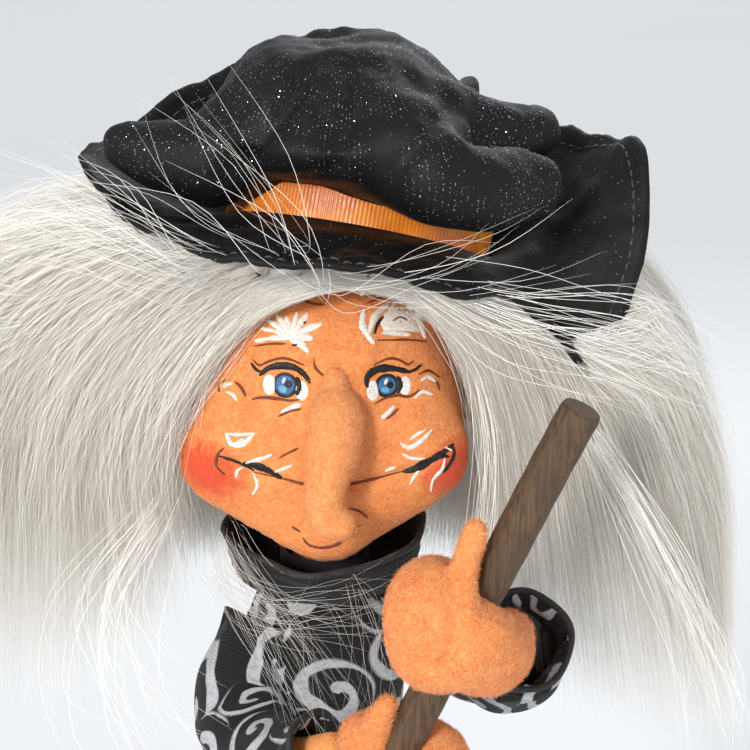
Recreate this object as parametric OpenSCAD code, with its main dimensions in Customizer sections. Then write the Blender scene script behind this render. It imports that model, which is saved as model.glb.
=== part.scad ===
// Animated witch figure: a felt display doll with a broom on a round drive base.
// Millimetres, +Z up. The origin is the centre of the base on the ground plane.
// The figure faces -Y, so her right hand is on the -X side.

/* [Base] */
// Radius of the drum-shaped base
base_r = 80; // [78:1:90]
// Height of the base without its cover
base_h = 44; // [44:1:50]
// Wall of the moulded base
base_wall = 2.5; // [2:0.5:3]
// Height of the rubber feet
foot_h = 3; // [2:0.5:3]

/* [Drive] */
// Teeth of the gear that turns the body
body_gear_teeth = 45; // [45:1:45]
// Teeth of the gear that turns the head
head_gear_teeth = 36; // [36:1:36]
// Distance from the spindle to the motor's output shaft
gear_centres = 30; // [30:1:30]
// Radius of the rod that carries the head
head_spindle_r = 2; // [1.5:0.25:2.25]
// Outer radius of the tube that carries the body
torso_spindle_r = 4; // [4:0.25:4.5]

/* [Figure] */
// Height of the waist seam
waist_z = 238; // [232:1:242]
// Height of the shoulder bar
shoulder_z = 314; // [310:1:316]
// Height of the head's middle
head_z = 368; // [366:1:372]
// Radius of the skirt at its hem
hem_r = 62; // [58:1:64]
// Height of the skirt's hem
hem_z = 80; // [76:1:95]

/* [Hat] */
// Height of the hat brim at the crown
brim_z = 422; // [421:1:425]
// Radius of the crown where it meets the brim
crown_r = 33; // [30:1:34]

/* [Broom] */
// Diameter of the broomstick
stick_d = 9.5; // [8:0.5:9.5]
// Length of the broomstick above the upper hand
stick_above = 59; // [50:1:70]
// Length of the broom below the upper hand
broom_below = 300; // [290:1:312]
// Sideways lean of the broomstick from upright
stick_lean = 24.6; // [20:0.1:26]

/* [Hidden] */
$fn = 64;

run_gap = 0.05;      // radial clearance of a running fit
set_gap = 0.02;      // gap between pieces that are fixed together
hull_fn = 24;        // sides of the rings and balls inside a hull
wire_fn = 8;         // sides of a bent wire
cloth_t = 1.2;       // thickness of a sewn layer with its lining

plate_t = 2.5;
plate_top = foot_h + plate_t;
base_top = base_h;
base_roof = base_top - base_wall;
base_in_r = base_r - base_wall;
cover_t = 2;
stand_z = base_top + cover_t;

gear_m = 2 * gear_centres / 60;                  // 15 + 45 and 24 + 36 teeth both add up to 60
body_pinion_teeth = 60 - body_gear_teeth;
head_pinion_teeth = 60 - head_gear_teeth;
head_gear_z = 26;
body_gear_z = 33;
gear_t = 4;

bracket_z = 21;                                  // underside of the bearing bracket
bracket_t = 3;
bracket_post = [3, 31];
gearbox_post = [26, 23];
box_x0 = -65;                                    // battery box, seen from above
box_x1 = -12;
box_y = 30;
box_top = 20.5;
cell_r = 7.1;
cell_len = 49.5;
door_axis = [-9, 5.6];                           // x and z of the battery door's hinge
door_x0 = -63;                                   // the door's free edge
door_y = 26.5;                                   // half the door's width

tube_r = 8;
tube_in_r = 7;
tube_top = waist_z - 16;
flange_r = 15.6;
flange_t = cover_t - 0.1;
flange_screw_at = 12.3;                          // distance of the flange screws from the spindle
flange_screw_angles = [90, 210, 330];
hub_z = tube_top + 1.7;
leg_x = 19;
leg_r = 8.5;
leg_top = hem_z + 104;

head_tilt = -12;                                 // the face looks slightly upwards
grip = [34.2, -55, 338.8];                       // where the upper hand holds the broomstick
stick_tilt = 2;
stick_r = stick_d / 2;
lower_grip = -42;                                // lower hand, along the stick from the grip
brush_len = 92;

right_shoulder = [-19, -3, shoulder_z + 1];
right_elbow = [-28, -20, 270];
right_wrist = [8, -46, 302];
left_shoulder = [19, -3, shoulder_z + 1];
left_elbow = [58, 2, 290];
left_wrist = [45, -45, 334];

// ---------- helpers ----------

function lerp(a, b, t) = a + (b - a) * t;
function bezier(a, b, c, t) = (1 - t) * (1 - t) * a + 2 * t * (1 - t) * b + t * t * c;

// Smooth body through elliptical stations [z, x, y, half width, half depth].
module skin(stations) {
    for (i = [0 : len(stations) - 2])
        hull() {
            station(stations[i]);
            station(stations[i + 1]);
        }
}

module station(s) {
    translate([s[1], s[2], s[0]])
        scale([s[3], s[4], 1])
            cylinder(r = 1, h = 0.02, center = true, $fn = hull_fn);
}

// Rounded cord through balls [centre, radius].
module chain(balls, sides = 16) {
    for (i = [0 : len(balls) - 2])
        hull() {
            translate(balls[i][0]) sphere(r = balls[i][1], $fn = sides);
            translate(balls[i + 1][0]) sphere(r = balls[i + 1][1], $fn = sides);
        }
}

// Bent wire through points.
module wire_path(points, r) {
    chain([for (p = points) [p, r]], wire_fn);
}

module ring(r_out, r_in, h, z = 0) {
    translate([0, 0, z])
        difference() {
            cylinder(r = r_out, h = h);
            translate([0, 0, -1]) cylinder(r = r_in, h = h + 2);
        }
}

// Frame whose +Z runs up the broomstick and whose origin is the upper grip.
module on_stick() {
    translate(grip) rotate([stick_tilt, stick_lean, 0]) children();
}

// Frame of the head, tilted back about the middle of the head.
module on_head() {
    translate([0, 0, head_z]) rotate([head_tilt, 0, 0]) children();
}

module pan_screw(r, length, head_r = 2.6) {
    cylinder(r = r, h = length);
    translate([0, 0, -1.6]) cylinder(r = head_r, h = 1.6);
}

// ---------- gears ----------

function inv_deg(rb, r) = let (a = acos(rb / r)) tan(a) * 180 / PI - a;

// One flank of a 20 degree involute tooth, from the root to the tip, as [radius, angle from the tooth's middle].
function flank(teeth, m) = let (
    rp = m * teeth / 2,
    rb = rp * cos(20),
    tip = rp + 0.8 * m,
    root = rp - 1.1 * m,
    half = 90 / teeth - 0.08 / rp * 180 / PI,
    steps = 4
) [
    [root, half + inv_deg(rb, rp)],
    for (i = [0 : steps])
        let (r = lerp(max(rb, root + 0.01), tip, i / steps)) [r, half + inv_deg(rb, rp) - inv_deg(rb, r)]
];

module gear(teeth, h, bore, turn = 0) {
    side = flank(teeth, gear_m);
    last = len(side) - 1;
    difference() {
        linear_extrude(height = h)
            polygon([
                for (k = [0 : teeth - 1], i = [0 : 2 * last + 1])
                    let (
                        p = i <= last ? side[i] : side[2 * last + 1 - i],
                        a = turn + 360 * k / teeth + (i <= last ? -p[1] : p[1])
                    ) p[0] * [cos(a), sin(a)]
            ]);
        translate([0, 0, -1]) cylinder(r = bore, h = h + 2);
    }
}

// ---------- base ----------

module base_shell() {
    color("#1b1a1c")
        difference() {
            union() {
                rotate_extrude()
                    difference() {
                        union() {
                            translate([0, foot_h]) square([base_r, base_top - foot_h - 4]);
                            translate([0, base_top - 5]) square([base_r - 4, 5]);
                            translate([base_r - 4, base_top - 4]) circle(r = 4);
                        }
                        translate([-1, 0]) square([base_in_r + 1, base_roof]);
                    }
                for (s = [-1, 1]) {
                    translate([bracket_post.x, s * bracket_post.y, bracket_z + bracket_t])
                        cylinder(r = 4, h = base_roof - bracket_z - bracket_t + 1);
                    translate([gearbox_post.x, s * gearbox_post.y, 24.5]) cylinder(r = 4, h = base_roof - 23.5);
                }
                for (a = [45 : 90 : 315])
                    rotate(a) translate([base_in_r - 5, 0, plate_top]) cylinder(r = 4, h = base_roof - plate_top + 1);
            }
            translate([0, 0, base_roof - 1]) cylinder(r = tube_r + 0.2, h = 10);
            translate([-6, base_in_r - 6, 19]) cube([12, 12, 7]);
            for (s = [-1, 1]) {
                translate([bracket_post.x, s * bracket_post.y, 20]) cylinder(r = 1.5, h = 15);
                translate([gearbox_post.x, s * gearbox_post.y, 20]) cylinder(r = 1.5, h = 15);
                translate([s * leg_x, -2, base_roof - 1]) cylinder(r = 1.6, h = 8);
            }
            for (a = [45 : 90 : 315])
                rotate(a) translate([base_in_r - 5, 0, 0]) cylinder(r = 1.5, h = 20);
            for (a = flange_screw_angles)
                rotate(a) translate([flange_screw_at, 0, base_roof - 1]) cylinder(r = 1.35, h = 8);
        }
}

module base_plate() {
    color("#232225")
        difference() {
            union() {
                translate([0, 0, foot_h]) cylinder(r = base_in_r - 0.2, h = plate_t);
                for (s = [-1, 1])
                    translate([door_axis[0] - 2.2, s * 29 - 1.5, plate_top - 0.5]) cube([4.4, 3, 2.8]);
                for (x = [21, 41], y = [-53, -37]) translate([x, y, plate_top - 0.5]) cylinder(r = 2, h = 5);
            }
            translate([door_x0 - 0.5, -door_y - 0.5, 0]) cube([door_axis[0] + 4 - door_x0, 2 * door_y + 1, 20]);
            translate([door_axis[0], 0, door_axis[1]])
                rotate([90, 0, 0]) cylinder(r = 1 + run_gap, h = 80, center = true);
            for (a = [45 : 90 : 315])
                rotate(a) translate([base_in_r - 5, 0, 0]) cylinder(r = 1.7, h = 20);
        }
}

module base_cover() {
    color("#c8571a")
        translate([0, 0, base_top])
            difference() {
                cylinder(r = base_r - 5, h = cover_t);
                translate([0, 0, -1]) cylinder(r = flange_r + 0.2, h = cover_t + 2);
                for (s = [-1, 1]) translate([s * leg_x, -2, -1]) cylinder(r = 1.8, h = cover_t + 2);
            }
}

module rubber_feet() {
    color("#2a2a2a") {
        cylinder(r = 4.6, h = foot_h);
        for (a = [0 : 90 : 270])
            rotate(a) translate([base_in_r - 9, 0, 0]) cylinder(r1 = 5.5, r2 = 6, h = foot_h);
    }
}

module plate_screws() {
    color("silver")
        for (a = [45 : 90 : 315])
            rotate(a) translate([base_in_r - 5, 0, foot_h]) pan_screw(1.4, 14);
}

// ---------- power ----------

module battery_box() {
    color("#111111")
        difference() {
            translate([box_x0, -box_y, plate_top + 0.05]) cube([box_x1 - box_x0, 2 * box_y, box_top - plate_top]);
            translate([box_x0 + 1, -box_y + 0.8, 0]) cube([box_x1 - box_x0 - 2, 2 * box_y - 1.6, box_top - 1]);
        }
}

function cell_y(i) = (i - 1.5) * (2 * cell_r + 0.3);

module batteries() {
    color("#8a8f96")
        for (i = [0 : 3])
            translate([box_x0 + 1.7, cell_y(i), 12.3])
                rotate([0, 90, 0]) {
                    cylinder(r = cell_r, h = cell_len - 1);
                    cylinder(r = 2.6, h = cell_len);
                }
}

module battery_contacts() {
    color("#c9b458")
        for (i = [0 : 3]) {
            translate([box_x0 + 1.05, cell_y(i) - 4, 8]) cube([0.5, 8, 8.5]);
            translate([box_x1 - 1.6, cell_y(i) - 4, 8]) cube([0.5, 8, 8.5]);
        }
}

module battery_door() {
    color("#232225") {
        translate([door_x0, -door_y, foot_h + 0.2]) cube([door_axis[0] - door_x0 - 3.7, 2 * door_y, 2]);
        for (s = [-1, 1]) {
            translate([door_axis[0], s * (door_y - 1.5), door_axis[1]])
                rotate([90, 0, 0]) cylinder(r = 1.8, h = 3, center = true);
            translate([door_axis[0] - 5, s * (door_y - 1.5) - 1.5, foot_h + 0.2]) cube([5, 3, 2]);
            translate([door_axis[0], s * 28, door_axis[1]])
                rotate([90, 0, 0]) cylinder(r = 1, h = 4.8, center = true);
        }
        translate([door_x0, -4, foot_h + 0.2]) cube([1.2, 8, 2.6]);
    }
}

module switch_body() {
    color("#101010")
        difference() {
            translate([-11, base_in_r - 9.5, 16]) cube([22, 7, 13]);
            translate([-6.4, base_in_r - 7.5, 19.6]) cube([12.8, 6, 5.8]);
        }
}

// The knob's resting place is the off side; it slides 6 mm to switch on.
module switch_knob() {
    color("#c8c8c8") {
        translate([-6, base_in_r - 7.2, 20]) cube([6, 4, 5]);
        translate([-5, base_in_r - 4, 20.5]) cube([4, 7.5, 4]);
    }
}

module control_board() {
    color("#1f6b3a") translate([18, -56, 10]) cube([26, 22, 1.6]);
    color("#101010") {
        translate([24, -50, 11.6]) cube([8, 6, 2.2]);
        translate([36, -52, 11.6]) cylinder(r = 2.5, h = 6);
        translate([36, -40, 11.6]) cube([6, 4, 4]);
    }
}

module lead_wires() {
    routes = [
        [[-20, 31, 14], [-20, 36, 14], [-8, 60, 18], [-8, 66.8, 20]],
        [[8, 66.8, 20], [8, 60, 18], [40, 46, 9], [55, 46, 9], [61, 41, 9], [66, 20, 9], [66, -24, 9], [46.5, -38, 13]],
        [[44.5, -42, 12], [63, -24, 12], [63, 26, 13], [57, 30, 14.5]]
    ];
    color("#a02020")
        for (r = routes) wire_path(r, 0.8);
}

// ---------- drive ----------

module gearbox() {
    color("#d9d6cc")
        difference() {
            union() {
                translate([15, -17, 8]) cube([42, 34, 15]);
                for (s = [-1, 1])
                    translate([gearbox_post.x, s * gearbox_post.y, 21.9]) cylinder(r = 4, h = 2.5);
                translate([gearbox_post.x - 4, -gearbox_post.y, 21.9]) cube([8, 2 * gearbox_post.y, 2.5]);
                translate([gear_centres, 0, 23]) cylinder(r = 5, h = 2);
            }
            translate([gear_centres, 0, 12]) cylinder(r = 2.5 + run_gap, h = 20);
            for (s = [-1, 1]) translate([gearbox_post.x, s * gearbox_post.y, 20]) cylinder(r = 1.7, h = 8);
        }
}

module drive_motor() {
    color("#9aa0a6")
        translate([46, 17.1, 15.5])
            rotate([-90, 0, 0]) {
                intersection() {
                    cylinder(r = 10, h = 25);
                    translate([-10, -7.5, 0]) cube([20, 15, 25]);
                }
                translate([0, 0, 24]) cylinder(r = 3, h = 3);
            }
}

module bearing_bracket() {
    color("#b9bcc0")
        difference() {
            hull()
                for (s = [-1, 1])
                    translate([bracket_post.x, s * bracket_post.y, bracket_z]) cylinder(r = 5, h = bracket_t - 0.1);
            translate([0, 0, bracket_z - 1]) cylinder(r = head_spindle_r + run_gap, h = bracket_t + 2);
            for (s = [-1, 1])
                translate([bracket_post.x, s * bracket_post.y, bracket_z - 1]) cylinder(r = 1.7, h = 6);
        }
}

module drive_screws() {
    color("silver")
        for (s = [-1, 1]) {
            translate([bracket_post.x, s * bracket_post.y, bracket_z - 0.1]) pan_screw(1.4, 12);
            translate([gearbox_post.x, s * gearbox_post.y, 21.8]) pan_screw(1.4, 12);
        }
}

module output_shaft() {
    color("#c0c4c8")
        translate([gear_centres, 0, 14]) cylinder(r = 2.5, h = body_gear_z + gear_t + 1 - 14);
}

module body_pinion() {
    color("#ece7d8")
        translate([gear_centres, 0, body_gear_z - 0.5])
            gear(body_pinion_teeth, gear_t + 1, 2.5 + set_gap);
}

module head_pinion() {
    color("#ece7d8")
        translate([gear_centres, 0, head_gear_z - 0.5])
            gear(head_pinion_teeth, gear_t + 1, 2.5 + set_gap, 180 / head_pinion_teeth);
}

module body_gear() {
    color("#ece7d8")
        translate([0, 0, body_gear_z]) {
            gear(body_gear_teeth, gear_t, torso_spindle_r + set_gap);
            ring(8, torso_spindle_r + set_gap, 2, gear_t - 0.2);
        }
}

module head_gear() {
    color("#ece7d8")
        translate([0, 0, head_gear_z]) {
            gear(head_gear_teeth, gear_t, head_spindle_r + set_gap);
            ring(6, head_spindle_r + set_gap, 2, -1.8);
        }
}

module support_tube() {
    color("#a8adb2") {
        ring(tube_r, tube_in_r, tube_top - base_roof, base_roof);
        difference() {
            ring(flange_r, tube_r - 0.5, flange_t, base_top);
            for (a = flange_screw_angles)
                rotate(a) translate([flange_screw_at, 0, base_top - 1]) cylinder(r = 1.6, h = 6);
        }
    }
}

module flange_screws() {
    color("silver")
        for (a = flange_screw_angles)
            rotate(a)
                translate([flange_screw_at, 0, base_top + flange_t + 0.05]) mirror([0, 0, 1]) pan_screw(1.25, 5, 2.4);
}

module spindle_bushes() {
    color("#b08d4a") {
        ring(tube_in_r - set_gap, torso_spindle_r + run_gap, 10, base_roof + 0.5);
        ring(tube_in_r - set_gap, torso_spindle_r + run_gap, 10, tube_top - 10);
        ring(tube_r + 1, torso_spindle_r + run_gap, 1.6, tube_top + 0.05);
    }
}

module torso_spindle() {
    color("#c0c4c8") ring(torso_spindle_r, 3, shoulder_z + 4 - 31.5, 31.5);
}

module spindle_liners() {
    color("#b08d4a")
        for (z = [31.6, shoulder_z - 6]) ring(3 - set_gap, head_spindle_r + run_gap, 8, z);
}

module head_spindle() {
    color("#c0c4c8") translate([0, 0, bracket_z + 0.1]) cylinder(r = head_spindle_r, h = head_z + 4 - bracket_z);
}

// ---------- legs ----------

module hip_block() {
    color("#c9a877")
        difference() {
            translate([0, 0, leg_top + 0.6]) cylinder(r = 26, h = 12);
            translate([0, 0, leg_top - 1]) cylinder(r = tube_r + set_gap, h = 20);
            for (s = [-1, 1]) translate([s * leg_x, -2, leg_top - 1]) cylinder(r = 1.5 + set_gap, h = 12);
        }
}

module leg_wires() {
    color("#8c8c8c")
        for (s = [-1, 1])
            translate([s * leg_x, -2, stand_z + 16]) cylinder(r = 1.5, h = leg_top - stand_z - 8);
}

module leg(side) {
    difference() {
        translate([side * leg_x, -2, 0])
            rotate_extrude()
                polygon([
                    [0, stand_z + 14], [leg_r - 1.5, stand_z + 14], [leg_r - 1, stand_z + 30],
                    [leg_r, hem_z + 20], [leg_r + 0.5, leg_top - 20], [leg_r, leg_top], [0, leg_top]
                ]);
        translate([side * leg_x, -2, 0]) cylinder(r = 1.5 + set_gap, h = leg_top + 20);
    }
}

module right_leg() { color("#d8661c") leg(-1); }
module left_leg() { color("#d8661c") leg(1); }

// A pointed boot whose toe curls upwards; the leg's end stands in its top.
module shoe(side) {
    difference() {
        translate([side * leg_x, -2, stand_z])
            rotate([0, 0, side * 12])
                difference() {
                    union() {
                        chain([
                            [[0, 4, 9], 8.6], [[0, -16, 8], 7.8], [[0, -30, 7], 6],
                            [[0, -39, 8.5], 3.8], [[0, -44, 14.5], 2.2]
                        ], 14);
                        hull() {
                            translate([0, 3, 9]) cylinder(r = 9.4, h = 2, $fn = hull_fn);
                            translate([0, 1, 24]) cylinder(r = 10.2, h = 3, $fn = hull_fn);
                        }
                        translate([0, 6, 0]) cylinder(r = 6.5, h = 6);
                        hull() {
                            translate([0, -12, 0]) cylinder(r = 7, h = 3, $fn = hull_fn);
                            translate([0, -28, 0]) cylinder(r = 5, h = 3, $fn = hull_fn);
                        }
                    }
                    translate([-40, -60, -20]) cube([80, 100, 20]);
                }
        translate([side * leg_x, -2, stand_z + 13.8]) cylinder(r = leg_r + 0.2, h = 30);
        translate([side * leg_x, -2, stand_z - 1]) cylinder(r = 1.7, h = 30);
    }
}

module right_shoe() { color("#161416") shoe(-1); }
module left_shoe() { color("#161416") shoe(1); }

module shoe_screws() {
    color("silver")
        for (s = [-1, 1]) translate([s * leg_x, -2, base_roof - 0.1]) pan_screw(1.5, 14);
}

// ---------- body ----------

module torso_hub() {
    color("#c9a877") ring(13, torso_spindle_r + set_gap, waist_z - hub_z + 1.4, hub_z);
}

torso_stations = [
    [waist_z + 1.5, 0, 0, 16.5, 13.5], [waist_z + 12, 0, 0, 16, 13.5], [waist_z + 26, 0, -1, 17, 15],
    [waist_z + 40, 0, -1, 18.5, 15.5], [waist_z + 54, 0, -1, 19, 15], [waist_z + 66, 0, -1, 19.5, 13.5],
    [waist_z + 76, 0, -1, 19, 12], [waist_z + 82, 0, -1, 16.5, 10.5], [waist_z + 86, 0, -1, 12, 9.5]
];
function thicker(stations, d) = [for (s = stations) [s[0], s[1], s[2], s[3] + d, s[4] + d]];

// Stuffed torso, a little smaller than the dress over it, slotted at the top for the shoulder bar.
module torso_padding() {
    color("#e9dcc6")
        difference() {
            hull()
                for (s = thicker(torso_stations, -1.5))
                    if (s[0] < waist_z + 84) station(s);
            translate([0, 0, waist_z - 10]) cylinder(r = torso_spindle_r + 0.3, h = 120);
            translate([-40, -6.4, shoulder_z - 6.7]) cube([80, 12.8, 20]);
        }
}

module shoulder_bar() {
    color("#c9a877")
        difference() {
            translate([-13.5, -5, shoulder_z - 5]) cube([27, 10, 10]);
            translate([0, 0, shoulder_z - 10]) cylinder(r = torso_spindle_r + set_gap, h = 20);
            for (s = [-1, 1])
                translate([s * 14, -3, shoulder_z + 1]) rotate([0, 90, 0])
                    cylinder(r = 1.2 + set_gap, h = 8, center = true);
        }
}

module bodice() {
    color("#17161a")
        difference() {
            skin(thicker(torso_stations, cloth_t));
            skin(concat([[waist_z, 0, 0, 16.5, 13.5]], torso_stations, [[waist_z + 90, 0, -1, 12, 9.5]]));
            for (s = [-1, 1])
                translate([s * 19, -3, shoulder_z + 1]) rotate([0, 90, 0])
                    cylinder(r = 2.4, h = 14, center = true, $fn = 24);
            wire_path([for (i = [0 : 2]) right_arm_at(i / 6.4)], 2.4);
            wire_path([for (i = [0 : 2]) left_arm_at(i / 6.4)], 2.4);
        }
}

module skirt() {
    color("#17161a")
        rotate_extrude()
            polygon(concat(
                [[13.05, waist_z + 1.4]],
                [for (i = [0 : 8]) skirt_point(i / 8)],
                [for (i = [8 : -1 : 0]) skirt_point(i / 8) - [cloth_t, cloth_t * (1 - i / 8)]],
                [[13.05, waist_z + 1.4 - cloth_t]]
            ));
}

// The skirt's side seam: narrow at the waist, then a bell that runs down to the hem.
function skirt_point(t) = [18 + (hem_r - 18) * pow(sin(90 * t), 0.85), lerp(waist_z + 1.4, hem_z, t)];

module neck() {
    color("#f4a468")
        ring(8.5, torso_spindle_r + 0.2, 8, waist_z + 84.2);
}

// Stand-up collar: it turns out from the neckline, then rises round the chin.
collar_stations = [
    [shoulder_z + 10.5, 0, 0, 18.5, 16], [shoulder_z + 13, 0, 0, 23.5, 21.5],
    [shoulder_z + 18, 0, -0.5, 24.7, 24.5], [shoulder_z + 26, 0, -0.5, 25.6, 26.6]
];

module collar() {
    color("#0c0b0d")
        difference() {
            skin(collar_stations);
            skin(concat(
                [[shoulder_z + 9, 0, 0, 16, 13.5]],
                thicker(collar_stations, -cloth_t),
                [[shoulder_z + 28, 0, -0.5, 26, 27]]
            ));
        }
}

// ---------- arms and hands ----------

function right_arm_at(t) = bezier(right_shoulder, right_elbow, right_wrist, t);
function left_arm_at(t) = bezier(left_shoulder, left_elbow, left_wrist, t);

module arm_wires() {
    color("#8c8c8c") {
        wire_path(concat([[-12, -3, shoulder_z + 1]], [for (i = [0 : 6]) right_arm_at(i / 6.4)]), 1.2);
        wire_path(concat([[12, -3, shoulder_z + 1]], [for (i = [0 : 6]) left_arm_at(i / 6.4)]), 1.2);
    }
}

module right_arm() {
    color("#f0a066")
        difference() {
            chain([for (i = [0 : 5]) [right_arm_at(0.3 + 0.62 * i / 5), 4.6]], 12);
            wire_path([for (i = [0 : 6]) right_arm_at(i / 6.4)], 1.6);
        }
}

module left_arm() {
    color("#f0a066")
        difference() {
            chain([for (i = [0 : 5]) [left_arm_at(0.24 + 0.68 * i / 5), 4.6]], 12);
            wire_path([for (i = [0 : 6]) left_arm_at(i / 6.4)], 1.6);
        }
}

// Loose sleeve, open at the cuff and trimmed to the bodice at the armhole.
module sleeve(points, radii) {
    last = len(points) - 1;
    difference() {
        chain([for (i = [0 : last]) [points[i], radii[i]]]);
        chain([for (i = [0 : last]) [points[i], radii[i] - cloth_t]]);
        translate(points[last]) sphere(r = radii[last] + 0.6, $fn = 16);
        skin(thicker(torso_stations, cloth_t + 0.05));
    }
}

module right_sleeve() {
    color("#17161a")
        sleeve(
            concat([[-18, -4, 312]], [for (i = [1 : 6]) right_arm_at(0.08 + 0.82 * i / 6) + [-2, 0, 0]]),
            [11, 13, 13, 12.5, 12, 11, 10]
        );
}

module left_sleeve() {
    color("#17161a")
        sleeve(
            concat([[16, -3, 314]], [for (i = [1 : 6]) left_arm_at(0.08 + 0.76 * i / 6) + [1, 0, 0]]),
            [9, 10.5, 12, 13, 13.5, 13.5, 12.8]
        );
}

// A mitten hand closed round the broomstick: palm, curled fingers and a thumb that points up the stick.
module right_hand() {
    color("#f4a468")
        difference() {
            on_stick() {
                chain([
                    [[-6, 4, lower_grip + 1], 8], [[2, 7, lower_grip + 2], 8.5], [[10, 3, lower_grip + 4], 8.5],
                    [[8.5, -4, lower_grip], 8], [[2, -8.5, lower_grip - 3], 7], [[-5, -7.5, lower_grip - 5], 6]
                ]);
                chain([
                    [[-6, 1, lower_grip + 4], 5], [[-7.8, -1, lower_grip + 11], 3.6],
                    [[-7.8, -1.5, lower_grip + 15], 2.8]
                ]);
            }
            on_stick() cylinder(r = stick_r + 0.3, h = 400, center = true, $fn = hull_fn);
            translate(right_wrist) sphere(r = 6.4, $fn = hull_fn);
            wire_path([for (i = [0 : 6]) right_arm_at(i / 6.4)], 1.6);
        }
}

module left_hand() {
    color("#f4a468")
        difference() {
            on_stick() {
                chain([
                    [[12, 6, -2], 6.5], [[7.6, -1.5, -4], 10.3], [[-0.8, -8, -1.2], 11.3], [[-6.5, -7.5, -4.5], 11],
                    [[-11.3, -6.5, 3.2], 10.2], [[-10, 2.5, 4], 7.5], [[-4, 7.5, 4], 6.3]
                ]);
                chain([
                    [[-5, -10, 4], 7], [[-7, -7.5, 10], 4.6], [[-7.8, -6, 14], 3.7], [[-8.6, -4.5, 19], 3.3],
                    [[-9.2, -3.5, 23.5], 3.2]
                ]);
            }
            on_stick() cylinder(r = stick_r + 0.3, h = 400, center = true, $fn = hull_fn);
            translate(left_wrist) sphere(r = 6.4, $fn = hull_fn);
            wire_path([for (i = [0 : 6]) left_arm_at(i / 6.4)], 1.6);
        }
}

// ---------- broom ----------

module broomstick() {
    color("#55402c")
        on_stick() translate([0, 0, -broom_below + brush_len * 0.45])
            cylinder(r = stick_r, h = stick_above + broom_below - brush_len * 0.45);
}

// The brush's outline: tight under the binding, swelling, then fanned at the tips.
module broom_bristles() {
    color("#c49a52")
        on_stick() translate([0, 0, -broom_below])
            difference() {
                rotate_extrude()
                    polygon([
                        [0, 0], [23, 0], [23.5, 6], [21.5, 25], [18, 45], [14, 62], [10.5, 74], [8.5, 82],
                        [7.5, brush_len], [0, brush_len]
                    ]);
                translate([0, 0, brush_len * 0.45 - 0.5]) cylinder(r = stick_r + set_gap, h = brush_len);
            }
}

module bristle_binding() {
    color("#7a3f16")
        on_stick() translate([0, 0, -broom_below])
            for (z = [70, 78])
                translate([0, 0, z])
                    difference() {
                        cylinder(r = z < 75 ? 13.5 : 11, h = 3);
                        translate([0, 0, -1]) cylinder(r = z < 75 ? 11.9 : 9.6, h = 5);
                    }
}

// ---------- head ----------

// Pear-shaped head: a domed skull, full cheeks and a small chin. `more` grows every ball.
module head_solid(more = 0) {
    hull() {
        translate([0, 0, 8]) scale([1.03, 0.9, 1]) sphere(r = 33 + more, $fn = 40);
        for (s = [-1, 1]) translate([s * 23.5, -11, -7]) sphere(r = 12.5 + more, $fn = 28);
        translate([0, 2, -10]) sphere(r = 24 + more, $fn = 32);
        translate([1, -11, -19.5]) sphere(r = 14 + more, $fn = 28);
    }
}

module head_former() {
    color("#efe6d4")
        difference() {
            translate([0, 0, head_z - 1]) sphere(r = 21);
            translate([0, 0, head_z - 40]) cylinder(r = head_spindle_r + set_gap, h = 45.05);
        }
}

module face() {
    color("#f4a468")
        difference() {
            on_head() head_solid();
            translate([0, 0, head_z - 1]) sphere(r = 21.3, $fn = 48);
            translate([0, 0, head_z - 60]) cylinder(r = 3.2, h = 50, $fn = hull_fn);
        }
}

// A long separate nose sewn on between the eyes, hanging over the mouth with its tip turned to her left.
module nose() {
    color("#f4a468")
        difference() {
            on_head()
                chain([
                    [[3.5, -28, 9], 4.5], [[3.8, -30, 5], 7], [[3.3, -32, -2], 6.8], [[1.8, -33.5, -9], 5.3],
                    [[1, -34.5, -15], 4.8], [[2.2, -35.5, -18.5], 4.4], [[5.3, -36, -19.5], 3.8]
                ]);
            on_head() head_solid(0.15);
        }
}

// Long-pile wig: a cap over the crown and the back of the head, with a full mass of curls on each side.
module wig() {
    color("#e6e2d8")
        difference() {
            union() {
                skin([
                    [350, 0, 20, 30, 14], [364, 0, 16, 38, 22], [378, 0, 10, 41, 28], [392, 0, 5, 40, 32],
                    [404, 1, 2, 37, 33], [413, 3, 2, 32, 30], [419, 5, 3, 26, 25], [426, 8, 4, 19, 18]
                ]);
                chain([[[-34, 6, 394], 20], [[-54, 11, 385], 28], [[-66, 14, 366], 29], [[-66, 18, 346], 22]]);
                chain([[[34, 8, 392], 18], [[52, 13, 378], 25], [[66, 18, 362], 27], [[74, 22, 348], 21]]);
                chain([[[-20, 34, 386], 20], [[0, 38, 376], 24], [[20, 34, 384], 20], [[0, 40, 354], 22]]);
            }
            on_head() head_solid(0.25);
            translate([-34, -70, head_z - 68]) cube([68, 62, 84]);
            translate([0, -60, head_z + 2]) rotate([-90, 0, 0])
                scale([31.5, 38, 1]) cylinder(r = 1, h = 54, $fn = hull_fn);
            translate([0, 0, shoulder_z - 54]) cylinder(r = 34, h = 83.5, $fn = hull_fn);
            on_hat() translate([0, 0, -1]) cylinder(r = 46, h = 60, $fn = hull_fn);
        }
}

// ---------- hat ----------

hat_c = [8, 4];                                  // middle of the hat's opening
hat_drop = -9.4;                                 // the opening's middle sits lower than the brim's front edge
hat_pitch = -21.5;                               // the hat is pushed back on the head
hat_roll = 10.8;                                 // and has slipped towards her left
band_r = 32;                                     // middle of the ribbon's thickness
band_h = 13;

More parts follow.
